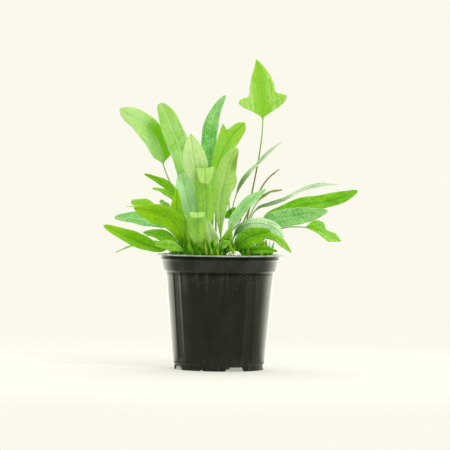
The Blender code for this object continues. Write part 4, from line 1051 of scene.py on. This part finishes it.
TOWARDS = (0.1, -1.0, 0.2)
AWAY = (0.0, 1.0, 0.1)
FRONDS = {
    "left_yellow": frond("front", 1, -1, "yellow", 0, 9.5, (-0.1, -0.9, 0.5), outline=SIDE_LOBED, wave=0.6,
        tone=0.4, rib=[(-33, -26, 111), (-36, -31, 122), (-43, -37, 131), (-54, -43, 136.5),
        (-64, -48, 138.5), (-74, -52, 140)]),
    "rim_left": frond("front", 2, -2, "fresh", 0, 4.8, (0.0, -0.8, 0.6), widest=1.1, tone=-0.7,
        rib=[(-31, -33, 102), (-37, -38, 106), (-46, -43, 108), (-56, -47, 109)]),
    "front_fold": frond("front", 3, -2, "fresh", 0, 8.4, AWAY, widest=1.1, blunt=0.12, fold=6, wave=0.5,
        look="turned", rib=[(-19, -34, 104), (-19, -38, 114), (-20, -41, 126), (-20, -45, 134),
        (-20, -50, 136), (-19, -53, 132)]),
    "middle_pale": frond("front", 5, 1, "pale", 1, 10.6, TOWARDS, outline=SPOON, fold=8, wave=0.7,
        look="milky", tone=1.0, rib=[(-9, -10, 120), (-14, -15, 148), (-18, -20, 164), (-22, -24, 176),
        (-24.5, -28, 190), (-26.5, -31, 204)]),
    "small_pale": frond("front", 5, -1, "pale", 0, 5.4, TOWARDS, look="milky", tone=1.9,
        rib=[(-4, -25, 103), (-6.5, -28, 112), (-9, -31, 121), (-11.5, -33, 130)]),
    "right_arch": frond("front", 6, -1, "blue", 1, 6.8, (-0.8, -0.6, 0.3), widest=1.0, blunt=0.6, fold=-14,
        wave=0.4, look="arch", tone=1.3, rib=[(8, -23, 104), (11, -25, 113), (15, -28, 122), (25, -33, 127),
        (37, -38, 127), (48, -43, 123), (54, -45, 116)]),
    "right_inner": frond("front", 7, -2, "deep", 0, 7.8, (-0.3, -1.0, 0.3), widest=1.0, blunt=0.6, tone=0.9,
        rib=[(13, -31, 103), (18, -38, 111), (29, -45, 117.5), (43, -50, 121)]),
    "rim_right": frond("front", 8, -1, "deep", 0, 3.9, (0.0, -0.8, 0.6), tone=0.4, rib=[(19, -27, 102),
        (28, -34, 104), (38, -40, 105.5), (49, -46, 104)]),
    "right_droop": frond("front", 9, -1, "fresh", 1, 4.2, (-0.3, -0.6, 0.8), tone=0.8, rib=[(26, -22, 106),
        (31, -24, 115), (38, -27, 117), (47, -31, 115), (55, -35, 109), (61, -38, 103)]),
    "left_low": frond("front", 1, 1, "yellow", 0, 7.8, (0.1, -0.8, 0.6), widest=1.0, blunt=0.6, wave=0.5,
        tone=-0.7, rib=[(-42, -13, 104), (-54, -18, 105), (-66, -23, 109), (-79, -28, 114), (-90, -33, 119),
        (-100, -37, 124)]),
    "left_blue": frond("front", 2, 1, "blue", 1, 6.6, (0.0, -0.8, 0.6), blunt=0.6, tone=-0.3,
        rib=[(-36, -11, 112), (-46, -15, 122), (-56, -19, 127), (-69, -24, 130), (-80, -28, 131),
        (-91, -31, 131)]),
    "left_tall": frond("back", 3, -1, "pale", 2, 10.6, (0.2, -1.0, 0.3), outline=BROAD_FOOT, wave=1.0,
        look="tall", tone=-0.1, rib=[(-33, 8, 120), (-43, 9, 158), (-50, 10, 176), (-53, 11, 188),
        (-60, 13, 202), (-71, 15, 214), (-89, 19, 225)]),
    "left_broad": frond("front", 4, 1, "blue", 0, 10.8, TOWARDS, widest=1.0, blunt=0.4, fold=8,
        look="silver", tone=1.1, rib=[(-19, -13, 112), (-24, -16, 132), (-28, -17, 146), (-31, -17, 157),
        (-33.5, -17, 170)]),
    "middle_arched": frond("front", 4, -1, "pale", 0, 9.6, AWAY, widest=1.25, blunt=0.3, fold=6, wave=0.4,
        look="turned", tone=0.4, rib=[(-11, -21, 112), (-12, -21, 130), (-12, -22, 150), (-13, -25, 166),
        (-13.5, -30, 174), (-13.5, -36, 172), (-13.5, -39, 161)]),
    "right_broad": frond("front", 6, 1, "fresh", 0, 9.0, (-0.2, -1.0, 0.1), widest=1.6, blunt=0.6,
        look="aged", tone=1.1, rib=[(1, -12, 110), (0, -15, 131), (1, -17, 149), (4, -20, 167),
        (8, -23, 182), (14, -26, 192)]),
    "right_pale": frond("front", 7, 1, "pale", 0, 5.4, (-0.4, -1.0, 0.4), widest=1.1, look="silver",
        tone=0.3, rib=[(9, -9, 114), (10, -9, 126), (17, -10, 137), (25, -12, 146), (34, -14, 153),
        (39, -15, 157)]),
    "right_yellow": frond("front", 8, 1, "yellow", 0, 3.4, (-0.3, -0.6, 0.8), rib=[(20, -12, 103),
        (28, -15, 111), (40, -18, 110)]),
    "right_blue": frond("front", 9, 1, "blue", 0, 8.2, (-0.2, -0.9, 0.5), widest=1.0, blunt=0.6, tone=0.5,
        rib=[(29, -12, 119), (40, -16, 128), (56, -21, 132), (69, -25, 134), (81, -29, 136),
        (92, -33, 139)]),
    "right_big": frond("front", 10, 1, "deep", 0, 7.8, (-0.2, -0.8, 0.6), widest=1.35, blunt=0.55, wave=1.0,
        waves=3, tone=0.1, rib=[(34, -6, 118), (40, -4, 132), (56, -1, 139), (73, 2, 143), (90, 5, 146),
        (105, 9, 150), (119, 13, 156)]),
    "left_thin": frond("back", 1, -1, "fresh", 1, 4.2, (0.0, -0.1, 1.0), rib=[(-41, 6, 106), (-53, 7, 110),
        (-66, 8, 109), (-79, 9, 105), (-91, 9, 100)]),
    "left_round": frond("back", 2, -1, "fresh", 1, 4.6, (0.15, -0.9, 0.4), widest=1.1, blunt=0.35,
        rib=[(-38, 7, 120), (-53, 8, 136), (-64, 9, 142), (-78, 10, 144)]),
    "left_upright": frond("front", 3, 1, "fresh", 1, 9.8, (0.15, -1.0, 0.1), widest=1.5, blunt=0.45,
        wave=1.3, waves=3.5, look="striped", tone=0.5, rib=[(-29, -7, 119), (-32, -6, 146), (-33, -6, 167),
        (-36, -5, 188), (-44, -4, 210), (-49, -2, 222), (-54, 0, 230)]),
    "left_narrow": frond("back", 4, -1, "deep", 0, 4.6, TOWARDS, rib=[(-20, 6, 112), (-28, 4, 133),
        (-34, 3, 146), (-38, 2, 157)]),
    "middle_blue": frond("back", 5, -1, "blue", 0, 7.2, (-0.2, -1.0, 0.0), widest=1.4, fold=14, wave=1.3,
        waves=3.5, tone=-0.3, rib=[(-8, 8, 134), (-10, 9, 168), (-11, 10, 186), (-10, 12, 203),
        (-7, 15, 219), (-2, 18, 230), (3, 21, 238)]),
    "right_forked": frond("back", 6, -1, "fresh", 1, 7.6, TOWARDS, outline=MITTEN, wave=0.5, lead=11.0,
        tone=1.1, rib=[(-1, 4, 130), (-4, -1, 165), (-2, -3, 181), (3, -4, 193), (11, -6, 205),
        (20, -8, 214)]),
    "right_edge_on": frond("back", 7, -1, "blue", 1, 4.0, (-0.7, -0.5, 0.6), widest=0.8, wave=0.4,
        look="sage", tone=0.9, rib=[(9, 9, 121), (13, 10, 150), (18, 12, 161), (25, 14, 171), (34, 17, 180),
        (43, 20, 190), (53, 23, 198)]),
    "tall_lobed": frond("back", 8, -1, "pale", 5, 11.4, (0.0, -1.0, 0.1), outline=THREE_LOBED, fold=6,
        wave=0.3, look="lobed", rib=[(19, 10, 112), (24, 14, 134), (27, 18, 152), (31, 23, 173),
        (34, 27, 191), (36, 30, 216), (35, 32, 236), (33, 33, 253), (30, 34, 270)]),
    "right_long": frond("back", 9, -1, "pale", 1, 3.3, (-0.2, -0.45, 0.9), outline=RIBBON, wave=0.4,
        look="sage", tone=1.0, rib=[(26, 11, 124), (28, 12, 135), (33, 13, 140), (42, 15, 143),
        (56, 18, 148), (64, 20, 152.5), (78, 24, 158.5), (90, 27, 161), (102, 30, 161)]),
    "right_forked_low": frond("back", 10, -1, "fresh", 2, 6.0, (-0.2, -0.7, 0.7), outline=FORKED, wave=0.4,
        tone=-0.3, rib=[(40, 7, 116), (54, 6, 123), (73, 4, 124), (82, 4, 123), (92, 4, 118),
        (105, 4, 112)]),
    "left_dark": frond("back", 1, 1, "deep", 1, 3.2, (0.0, -0.3, 1.0), rib=[(-38, 18, 107), (-46, 19, 113),
        (-64, 21, 115)]),
    "left_edge": frond("back", 2, 1, "pale", 1, 4.2, (0.1, -0.15, 1.0), rib=[(-34, 22, 118), (-53, 26, 135),
        (-66, 29, 139), (-83, 32, 140)]),
    "left_side": frond("back", 3, 1, "yellow", 1, 5.8, (0.3, -0.6, 0.9), widest=0.75, wave=0.5,
        rib=[(-29, 23, 124), (-37, 28, 143), (-47, 33, 152), (-60, 38, 156)]),
    "left_pointed": frond("back", 4, 1, "yellow", 1, 4.6, (0.3, -0.8, 0.6), widest=0.8, wave=0.3,
        rib=[(-27, 20, 124), (-36, 22, 148), (-46, 24, 158), (-56, 26, 163.5), (-67, 29, 168.5)]),
    "left_behind": frond("back", 5, 1, "pale", 1, 4.0, (0.3, -0.9, 0.5), blunt=0.5, rib=[(-24, 15.5, 116),
        (-42, 14.5, 134), (-53, 14, 146)]),
    "small_dark": frond("back", 6, 1, "deep", 2, 4.3, (0.2, -1.0, 0.3), blunt=0.6, tone=-0.9,
        rib=[(9, 19, 118), (18, 17, 131), (17, 15, 137), (3, 12, 132)]),
    "right_wisp_high": frond("back", 7, 1, "olive", 1, 1.2, (-0.7, -0.5, 0.6), wave=0.1, rib=[(18, 26, 122),
        (33, 32, 153), (41, 36, 165), (51, 40, 174)]),
    "right_wisp_low": frond("back", 8, 1, "pale", 1, 2.4, (-0.3, -0.5, 0.8), blunt=0.5, wave=0.3,
        look="olive", tone=-0.2, rib=[(24, 24, 128), (33, 27, 146), (42, 31, 153), (54, 36, 156)]),
    "left_inner": frond("front", 2, -1, "yellow", 0, 7.0, TOWARDS, widest=0.75, wave=0.9,
        rib=[(-30, -22, 106), (-35, -22, 121), (-38, -23, 138), (-38, -24, 156)]),
    "left_front": frond("front", 3, -1, "fresh", 0, 5.8, TOWARDS, widest=0.8, rib=[(-21, -26, 103),
        (-23, -27, 113), (-25, -27, 125), (-26, -26, 138)]),
    "left_fill": frond("front", 1, -2, "deep", 0, 5.6, (0.1, -0.8, 0.6), widest=0.75, tone=0.2,
        rib=[(-37.5, -29, 104), (-43, -29, 112), (-54, -31, 117), (-66, -35, 118.5)]),
    "centre_right": frond("front", 6, -2, "fresh", 0, 5.0, TOWARDS, widest=0.8, rib=[(4, -31, 102),
        (6, -33, 113), (9, -35, 124)]),
    "back_right_low": frond("back", 9, 1, "fresh", 1, 6.4, (0.0, 0.2, 1.0), rib=[(29, 24, 112),
        (48, 30, 127), (66, 36, 133), (82, 40, 132)]),
    "back_inner": frond("far", 5, -1, "blue", 1, 6.8, (0.1, -1.0, 0.0), rib=[(-4, 27, 130), (-5, 27, 158),
        (-6, 29, 178), (-4, 32, 196)]),
    "back_left_tall": frond("far", 3, -1, "fresh", 1, 8.4, (0.1, -1.0, 0.3), rib=[(-21, 32, 128),
        (-26, 38, 152), (-31, 45, 168), (-36, 55, 176)]),
    "back_right_tall": frond("far", 7, -1, "pale", 1, 8.0, (-0.1, -1.0, 0.3), rib=[(8, 32, 128),
        (7, 38, 150), (6, 47, 166), (4, 60, 172)]),
    "back_middle": frond("far", 5, 1, "fresh", 1, 8.6, (0.0, -0.8, 0.6), wave=1.0, rib=[(-4, 46, 118),
        (-5, 56, 138), (-6, 70, 149), (-8, 88, 150)]),
    "back_left": frond("far", 3, 1, "blue", 1, 7.4, (0.3, -0.6, 0.8), rib=[(-24, 47, 112), (-33, 58, 124),
        (-44, 70, 129), (-56, 82, 126)]),
    "back_right": frond("far", 7, 1, "fresh", 1, 7.6, (-0.3, -0.6, 0.8), wave=1.0, rib=[(18, 48, 110),
        (30, 62, 119), (41, 76, 121), (52, 90, 116)]),
    "back_low": frond("far", 6, 1, "pale", 1, 6.4, (0.0, -0.3, 1.0), rib=[(4, 50, 104), (5, 64, 110),
        (5, 80, 109), (6, 95, 102)]),
    "back_side": frond("far", 2, -1, "fresh", 1, 6.0, (0.2, -0.3, 1.0), rib=[(-34, 32, 112), (-47, 38, 126),
        (-60, 44, 132), (-74, 50, 132)]),
    "middle_low": frond("front", 4, -2, "fresh", 0, 4.2, TOWARDS, rib=[(-13, -31, 102), (-15, -32, 111),
        (-17, -32, 121)]),
    "middle_behind": frond("far", 4, -1, "deep", 0, 9.4, TOWARDS, widest=0.8, wave=1.0, rib=[(-12, 25, 106),
        (-15, 24, 130), (-17, 23, 154), (-16, 23, 176)]),
    "centre_low": frond("front", 5, -2, "fresh", 0, 4.0, (-0.2, -0.9, 0.5), rib=[(-3, -33, 102),
        (2, -37, 108), (9, -40, 112)]),
}
print("fronds:", len(FRONDS))

# %% [markdown]
# ## The shape of a frond
# A blade could be a flat cut-out with a picture of veins. Light would then never catch the rib or the
# swellings between the side veins, so they are modelled. Thirty-two points go round the tube. On the
# stipe they are a circle. Where the blade starts they spread: half of them become the upper face and
# half the lower one, closer together at the rib and at the margin, where the form is finest.

# %% Widths of the blade
STIPE_RADIUS, NECK_RADIUS, TIP_HALF = 0.85, 0.5, 0.5
NECK_SHARE = 0.12
RIPPLE_LAG = 1.3


def smooth_between(table, share, column):
    """A soft curve through one column of an outline."""
    k = 1
    while k < len(table) - 1 and share > table[k][0]:
        k += 1
    low, high = table[k - 1], table[k]
    before, after = table[max(k - 2, 0)], table[min(k + 1, len(table) - 1)]
    wide = high[0] - low[0]
    part = (share - low[0]) / wide
    rise = (high[column] - before[column]) / (high[0] - before[0]) * wide
    fall = (after[column] - low[column]) / (after[0] - low[0]) * wide
    return eased(low[column], rise, high[column], fall, part)


def half_widths(entry, share):
    """Half width to the left and to the right of the rib, at a share of the blade's length."""
    if entry["outline"]:
        return [max(smooth_between(entry["outline"], share, column), 0.3) for column in (1, 2)]
    power = 1.0 - share + entry["blunt"] * share
    bulge = max(math.sin(math.pi * share ** entry["widest"]), 0.0) ** power
    end = NECK_RADIUS + (TIP_HALF - NECK_RADIUS) * share
    return [end + (entry["half"] - end) * bulge] * 2


lobe_reach = max(max(half_widths(FRONDS["tall_lobed"], k / 50)) for k in range(51))
print("the tall frond's side lobes reach in mm:", round(lobe_reach, 1))


# %% The section of a blade
ACROSS = (0.0, 0.06, 0.15, 0.28, 0.44, 0.62, 0.80, 0.95, 1.0)
HALF_STEPS = len(ACROSS) - 1
AROUND = 4 * HALF_STEPS
BLADE_THICK, EDGE_THINNER, RIB_OVER, RIB_UNDER, RIB_WIDE = 0.62, 0.75, 0.22, 0.55, 0.8
VEIN_SPACING, VEIN_LEAN, VEIN_DEPTH, VEIN_WIDE = 3.6, 0.75, 0.05, 0.16
UNEVEN_MARGIN, CRINKLE, PILLOW = 0.035, 0.3, 0.3
BLADE_STEP, STIPE_STEP, CROWDED_TIP = 1.1, 4.0, 1.2


def across_of(step):
    """Where a step round the ring lies: from -1 at the left margin to 1 at the right, and the face."""
    folded = step if step <= 2 * HALF_STEPS else AROUND - step
    side = 1 if folded <= HALF_STEPS else -1
    face = 1 if 0 < step < 2 * HALF_STEPS else -1
    return side * ACROSS[abs(HALF_STEPS - folded)], face


def vein_at(aside, length):
    """1 on a side vein and 0 between two; the veins leave the rib and lean towards the tip."""
    part = ((length - aside * VEIN_LEAN) / VEIN_SPACING) % 1.0
    return math.exp(-((part - 0.5) / VEIN_WIDE) ** 2)


def blade_point(entry, share, length, across, face, spot, up, seed):
    """The place of one point of the blade."""
    place, ahead = spot
    right = ahead.cross(up)
    half = half_widths(entry, share)[0 if across < 0 else 1]
    margin = noise.noise(Vector((length / 7.0, across, seed))) * UNEVEN_MARGIN * abs(across)
    aside = abs(across) * half * (1 + margin)
    swell = math.sin(math.pi * share) ** 0.5 if 0 < share < 1 else 0.0
    side = 1 if across > 0 else -1
    wave = entry["wave"] * swell * math.sin(math.tau * entry["waves"] * share + RIPPLE_LAG * side)
    crinkle = CRINKLE * swell * noise.noise(Vector((length / 5.0, 2.0 * side, seed))) * across ** 2
    fold = math.radians(entry["fold"])
    pillow = PILLOW * swell * math.sin(math.pi * abs(across))
    rise = aside * math.sin(fold) + wave * abs(across) ** 1.3 + crinkle + pillow
    lobe = max(0.0, half - entry["half"]) / entry["half"]
    forward = entry["lead"] * lobe * abs(across)
    rib = math.exp(-(aside / RIB_WIDE) ** 2) * (1.0 - share)
    veins = VEIN_DEPTH * vein_at(aside, length) * swell * min(1.0, aside / 2.0) * (1 - across ** 6)
    thick = BLADE_THICK / 2 * (1 - EDGE_THINNER * abs(across) ** 8)
    lift = thick + (RIB_OVER * rib - veins if face > 0 else RIB_UNDER * rib + veins)
    return (place + right * side * aside * math.cos(fold) + up * (rise + face * lift) + ahead * forward,
            aside * side)


# %% Build one frond
LEAF_LAYERS = ("share", "length", "aside", "edge", "under", "tone")
OWN_TONE = 0.25


def stations_of(entry, path):
    """The lengths where a ring stands, and where the blade begins and ends."""
    lengths, marks = path[1], path[2]
    start, end = lengths[marks[entry["blade"] + 1]], lengths[-1]
    stipe_rings = max(4, round(start / STIPE_STEP))
    blade_rings = max(24, round((end - start) / BLADE_STEP))
    stations = [start * k / stipe_rings for k in range(stipe_rings)]
    for k in range(blade_rings + 1):
        stations.append(start + (end - start) * (1 - (1 - k / blade_rings) ** CROWDED_TIP))
    return stations, start, end, stipe_rings


def leaf_draft(entry, seed):
    """A frond's tube, carried from its foot in the mix to the tip of its blade."""
    x, y = slot_place(*entry["slot"])
    path = smooth_path([Vector((x, y, STIPE_CLEAR))] + [Vector(point) for point in entry["rib"]])
    stations, start, end, first_blade = stations_of(entry, path)
    spots = [along(path, length) for length in stations]
    ups = carry_frames(spots, first_blade, Vector(entry["face"]))
    # each frond's tone: partly its own green, partly painted light and shade that lightens fronds in shadow
    # and darkens others
    tone = entry["tone"] + OWN_TONE * math.sin(7.0 * seed)

    def rule(ring, step):
        angle = math.tau * step / AROUND
        if ring < 2:
            level = Vector((x, y, STIPE_FOOT if ring == 0 else STIPE_CLEAR))
            outward = off_axis(spots[0][1], ups[0], angle)
            outward.z = 0.0
            return level + outward.normalized() * STIPE_RADIUS, -1.0, -12.0, 0.0, 0.0, 0.0, tone
        place, ahead = spots[ring - 1]
        up, length = ups[ring - 1], stations[ring - 1]
        share = min(max(0.0, (length - start) / (end - start)), 1.0)
        radius = STIPE_RADIUS + (NECK_RADIUS - STIPE_RADIUS) * min(1.0, length / start)
        tube = place + off_axis(ahead, up, angle) * radius
        across, face = across_of(step)
        flat, aside = blade_point(entry, share, length - start, across, face, (place, ahead), up, seed)
        mixed = tube.lerp(flat, soft(share / NECK_SHARE))
        own_share = share if length > start else (length - start) / start
        return (mixed, own_share, length - start, aside, abs(across), 0.0 if face > 0 else 1.0, tone)

    return carried(len(stations) + 1, AROUND, rule, LEAF_LAYERS)


print("points round a leaf:", AROUND)

# %% [markdown]
# ## Living green
# A leaf's colour isn't one green. It is paler along the side veins, in the fine net between them and
# at the very margin, drawn out in soft streaks along the blade, duller underneath, and browner where
# an old tip curls. A bluish bloom of wax lies on it in patches. Some blades are darker along the rib,
# and painted shade darkens the foot of some and one side of another, where other leaves shade them.
# Each frond's tone makes it lighter or darker, partly as its own green and partly as painted light and
# shade. The shape above wrote down for each point how far along the blade it is, how far from the rib
# and on which face, as attributes. The node group below reads them and gives masks; each colour of
# leaf has a material of its own that mixes its greens by those masks. The shine of a green leaf is
# green too, because what shines back comes partly from under its skin.

# %% The node group for veins
LEAVES_APART, STREAK_STRETCH = 40.0, 0.14


def make_veins():
    """Masks of rib, side veins, net, margin and lengthwise streaks, from the leaf's own attributes."""
    tree, given, out = new_group(
        "leaf_veins",
        [("Rib Width", FLOAT, 0.7), ("Spacing", FLOAT, VEIN_SPACING), ("Net Scale", FLOAT, 0.55)],
        [("Rib", FLOAT), ("Side", FLOAT), ("Net", FLOAT), ("Margin", FLOAT), ("Streaks", FLOAT)],
    )
    aside, length, edge, tone = (own_value(tree, label) for label in ("aside", "length", "edge", "tone"))
    off = sum_up(tree, "ABSOLUTE", aside)
    tree.links.new(ramp(tree, off, given["Rib Width"], 0.0), out["Rib"])
    phase = sum_up(tree, "DIVIDE", sum_up(tree, "MULTIPLY_ADD", off, -VEIN_LEAN, length), given["Spacing"])
    saw = sum_up(tree, "ABSOLUTE", sum_up(tree, "SUBTRACT", sum_up(tree, "FRACT", phase), 0.5))
    side = times(tree, ramp(tree, saw, 0.14, 0.0), ramp(tree, off, 0.3, 1.2))
    tree.links.new(side, out["Side"])
    flat = put(tree, "ShaderNodeCombineXYZ", {0: aside, 1: length}).outputs[0]
    cells = put(tree, "ShaderNodeTexVoronoi", {"Vector": flat, "Scale": given["Net Scale"]},
                feature="DISTANCE_TO_EDGE", voronoi_dimensions="2D")
    tree.links.new(ramp(tree, cells.outputs["Distance"], 0.10, 0.0), out["Net"])
    tree.links.new(ramp(tree, edge, 0.93, 1.0), out["Margin"])
    own, drawn = times(tree, tone, LEAVES_APART), times(tree, length, STREAK_STRETCH)
    drawn_out = put(tree, "ShaderNodeCombineXYZ", {0: aside, 1: drawn, 2: own}).outputs[0]
    bands = put(tree, "ShaderNodeTexNoise", {"Vector": drawn_out, "Scale": 0.42, "Detail": 3.0})
    tree.links.new(ramp(tree, bands.outputs[0], 0.35, 0.65), out["Streaks"])


make_veins()
print("vein group ready")

# %% The finish of a leaf
STALK, STALK_DARK = tint(140, 178, 66), tint(110, 128, 44)
BLOOM, OLD_TIP, SPECKLE = tint(172, 220, 154), tint(122, 156, 44), tint(226, 244, 226)
# painted shadow that a frond in front casts on one side of the blade behind it
SIDE_SHADE = tint(126, 194, 4)


def leaf_material(name, light, dark, rib, tip, midrib, bloom=0.2, heart=0.0, foot=0.0, roughness=0.5,
                  old=0.0, speckled=0.0, side_shadow=0.0, shine=WHITE):
    """A waxy leaf: greens in clouds, paler veins, a bluish bloom, duller underneath, a stalk below, and
    painted shade at the foot and on one side.
    """
    material, tree, shader = new_material(name, {
        "IOR": 1.42, "Specular IOR Level": 0.35, "Specular Tint": shine, "Subsurface Weight": 0.2,
        "Subsurface Scale": 1.0, "Subsurface Radius": (0.0015, 0.0022, 0.0006),
    })
    share, length, aside, edge, under, tone = (own_value(tree, label) for label in LEAF_LAYERS)
    veins = use_group(tree, "leaf_veins", {})
    clouds = clouds_of(tree, 55.0, 0.3, 0.7)
    patches = clouds_of(tree, 95.0, 0.42, 0.62)
    fine = clouds_of(tree, 420.0, 0.3, 0.7)
    drift = sum_up(tree, "MULTIPLY_ADD", clouds, 0.5, sum_up(tree, "MULTIPLY_ADD", fine, 0.75, -0.42))
    drift = sum_up(tree, "MULTIPLY_ADD", veins["Streaks"], 0.65, drift)
    # the tone moves the green towards light or dark, partly as painted light and shade
    drift = sum_up(tree, "SUBTRACT", drift, times(tree, tone, 0.5))
    off_rib = sum_up(tree, "ABSOLUTE", aside)
    near_rib = times(tree, ramp(tree, off_rib, 9.0, 2.0), ramp(tree, edge, 0.95, 0.4))
    # painted shade: the foot of the blade turns to the dark green, where other leaves shade it
    below = times(tree, ramp(tree, share, 0.55, 0.15), foot)
    shaded = sum_up(tree, "MAXIMUM", times(tree, near_rib, heart), below)
    curl = times(tree, ramp(tree, share, 0.68, 0.86), ramp(tree, aside, 1.0, 4.0))
    # painted shadow: one side of the blade, towards its foot, takes the side shade
    shadow_side = times(tree, ramp(tree, aside, 0.0, 3.5), ramp(tree, share, 0.66, 0.46))
    dots = specks_of(tree, 640.0, 0.5, 0.35)
    green = blend(tree, drift, light, dark)
    for mask, amount, colour in (
        (patches, bloom, BLOOM), (ramp(tree, share, 0.55, 1.0), 0.5, tip), (shaded, 1.0, dark),
        (veins["Net"], 0.36, rib), (veins["Side"], 0.3, rib), (veins["Rib"], 0.55, midrib or dark),
        (veins["Margin"], 0.45, rib), (under, 0.15, BLOOM), (curl, old, OLD_TIP),
        (shadow_side, side_shadow, SIDE_SHADE), (dots, speckled, SPECKLE),
    ):
        green = blend(tree, times(tree, mask, amount), green, colour)
    stalk = blend(tree, ramp(tree, length, -6.0, -40.0), STALK, STALK_DARK)
    green = blend(tree, ramp(tree, share, 0.05, -0.02), green, stalk)
    tree.links.new(green, shader.inputs["Base Color"])
    dull = ramp(tree, fine, 0.0, 1.0, roughness - 0.08, roughness + 0.08)
    tree.links.new(sum_up(tree, "MULTIPLY_ADD", under, 0.12, dull), shader.inputs["Roughness"])
    relief = sum_up(tree, "MULTIPLY_ADD", veins["Side"], -0.8, times(tree, veins["Net"], -0.45))
    relief = sum_up(tree, "MULTIPLY_ADD", fine, 0.3, relief)
    add_relief(tree, shader, relief, 0.6, 0.0003)
    return material


print("values that a leaf's finish reads:", LEAF_LAYERS)

# %% A finish for each green
GREENS = {
    "pale": ((186, 226, 130), (148, 204, 84), (206, 234, 164), (190, 228, 138), (130, 184, 80),
        dict(bloom=0.3)),
    "tall": ((188, 226, 140), (150, 206, 92), (206, 234, 164), (196, 230, 150), (130, 184, 80),
        dict(bloom=0.3, side_shadow=1.0)),
    "milky": ((206, 236, 162), (158, 208, 94), (216, 240, 178), (204, 234, 158), (136, 188, 84),
        dict(bloom=0.25)),
    "fresh": ((158, 212, 58), (102, 178, 16), (184, 224, 110), (162, 210, 64), (88, 150, 20),
        dict(bloom=0.2, shine=GREEN_SHINE)),
    "blue": ((148, 208, 116), (82, 168, 58), (182, 222, 160), (148, 204, 114), (176, 220, 160),
        dict(bloom=0.36, roughness=0.42, speckled=0.5)),
    "striped": ((166, 214, 104), (118, 186, 52), (196, 228, 150), (160, 206, 100), (214, 238, 176),
        dict(bloom=0.6)),
    # deep: a darker green, partly the fern's own and partly painted shade for fronds that stand in shadow
    "deep": ((122, 192, 24), (66, 144, 2), (148, 206, 60), (124, 192, 30), (60, 124, 8),
        dict(bloom=0.06, shine=GREEN_SHINE)),
    "yellow": ((148, 206, 14), (112, 182, 0), (172, 214, 58), (158, 206, 22), (92, 144, 10),
        dict(bloom=0.04, shine=GREEN_SHINE)),
    "lobed": ((190, 226, 128), (138, 200, 44), (186, 222, 120), (180, 222, 116), None,
        dict(bloom=0.1, heart=0.9, shine=GREEN_SHINE)),
    "turned": ((162, 218, 58), (122, 190, 24), (180, 222, 112), (206, 240, 164), (60, 112, 10),
        dict(bloom=0.1, shine=GREEN_SHINE)),
    "silver": ((190, 238, 176), (124, 206, 100), (210, 242, 200), (184, 234, 164), (134, 188, 104),
        dict(bloom=0.55, roughness=0.42)),
    "aged": ((186, 226, 122), (116, 184, 34), (200, 232, 150), (170, 212, 96), (108, 168, 60),
        dict(bloom=0.15, old=0.8)),
    # sage and arch: the foot of their blades takes painted shade
    "sage": ((198, 222, 188), (62, 118, 20), (204, 226, 196), (190, 216, 180), (150, 186, 130),
        dict(bloom=0.3, foot=1.0)),
    "arch": ((198, 236, 182), (48, 128, 2), (212, 242, 198), (200, 236, 184), None,
        dict(bloom=0.3, foot=1.0, roughness=0.42)),
    "olive": ((148, 152, 92), (112, 108, 62), (170, 168, 112), (132, 112, 66), None, dict()),
}
LEAVES = {}
for name, (*colours, more) in GREENS.items():
    tints = [colour and tint(*colour) for colour in colours]
    LEAVES[name] = leaf_material(f"leaf_{name}", *tints, **more)
print("leaf materials:", sorted(LEAVES))

# %% Grow all fronds
grown = []
for number, (name, entry) in enumerate(FRONDS.items()):
    material = LEAVES[entry["look"] or entry["colour"]]
    draft = leaf_draft(entry, number)
    grown.append(settle(f"leaf_{name}", draft, material, [f"frond_{name}"]))
triangles = sum(len(face.vertices) - 2 for leaf in grown for face in leaf.data.polygons)
print("triangles in leaves:", triangles)

# %% [markdown]
# ## Room for the first leaves
# The first leaves came up at random, so some of them run through a frond or the young curl. They
# could be moved one by one, but there are hundreds. A BVH tree sorts the faces of a mesh by place, and
# two such trees quickly tell which of their faces cross. Every first leaf with such a face is taken away.

# %% Take away first leaves that run through another piece


def clear_of(piece, others):
    """Removes the small leaves that cross one of the other pieces; their tone tells them apart."""
    bm = bmesh.new()
    bm.from_mesh(piece.data)
    bm.faces.ensure_lookup_table()
    own_tone = bm.verts.layers.float["tone"]
    own, now = BVHTree.FromBMesh(bm), bpy.context.evaluated_depsgraph_get()
    crossed = set()
    for other in others:
        pairs = own.overlap(BVHTree.FromObject(other, now))
        crossed |= {bm.faces[mine].verts[0][own_tone] for mine, _ in pairs}
    bmesh.ops.delete(bm, geom=[vert for vert in bm.verts if vert[own_tone] in crossed], context="VERTS")
    bm.to_mesh(piece.data)
    bm.free()
    return len(crossed)


print("first leaves taken away:", clear_of(first, [*grown, crozier]))
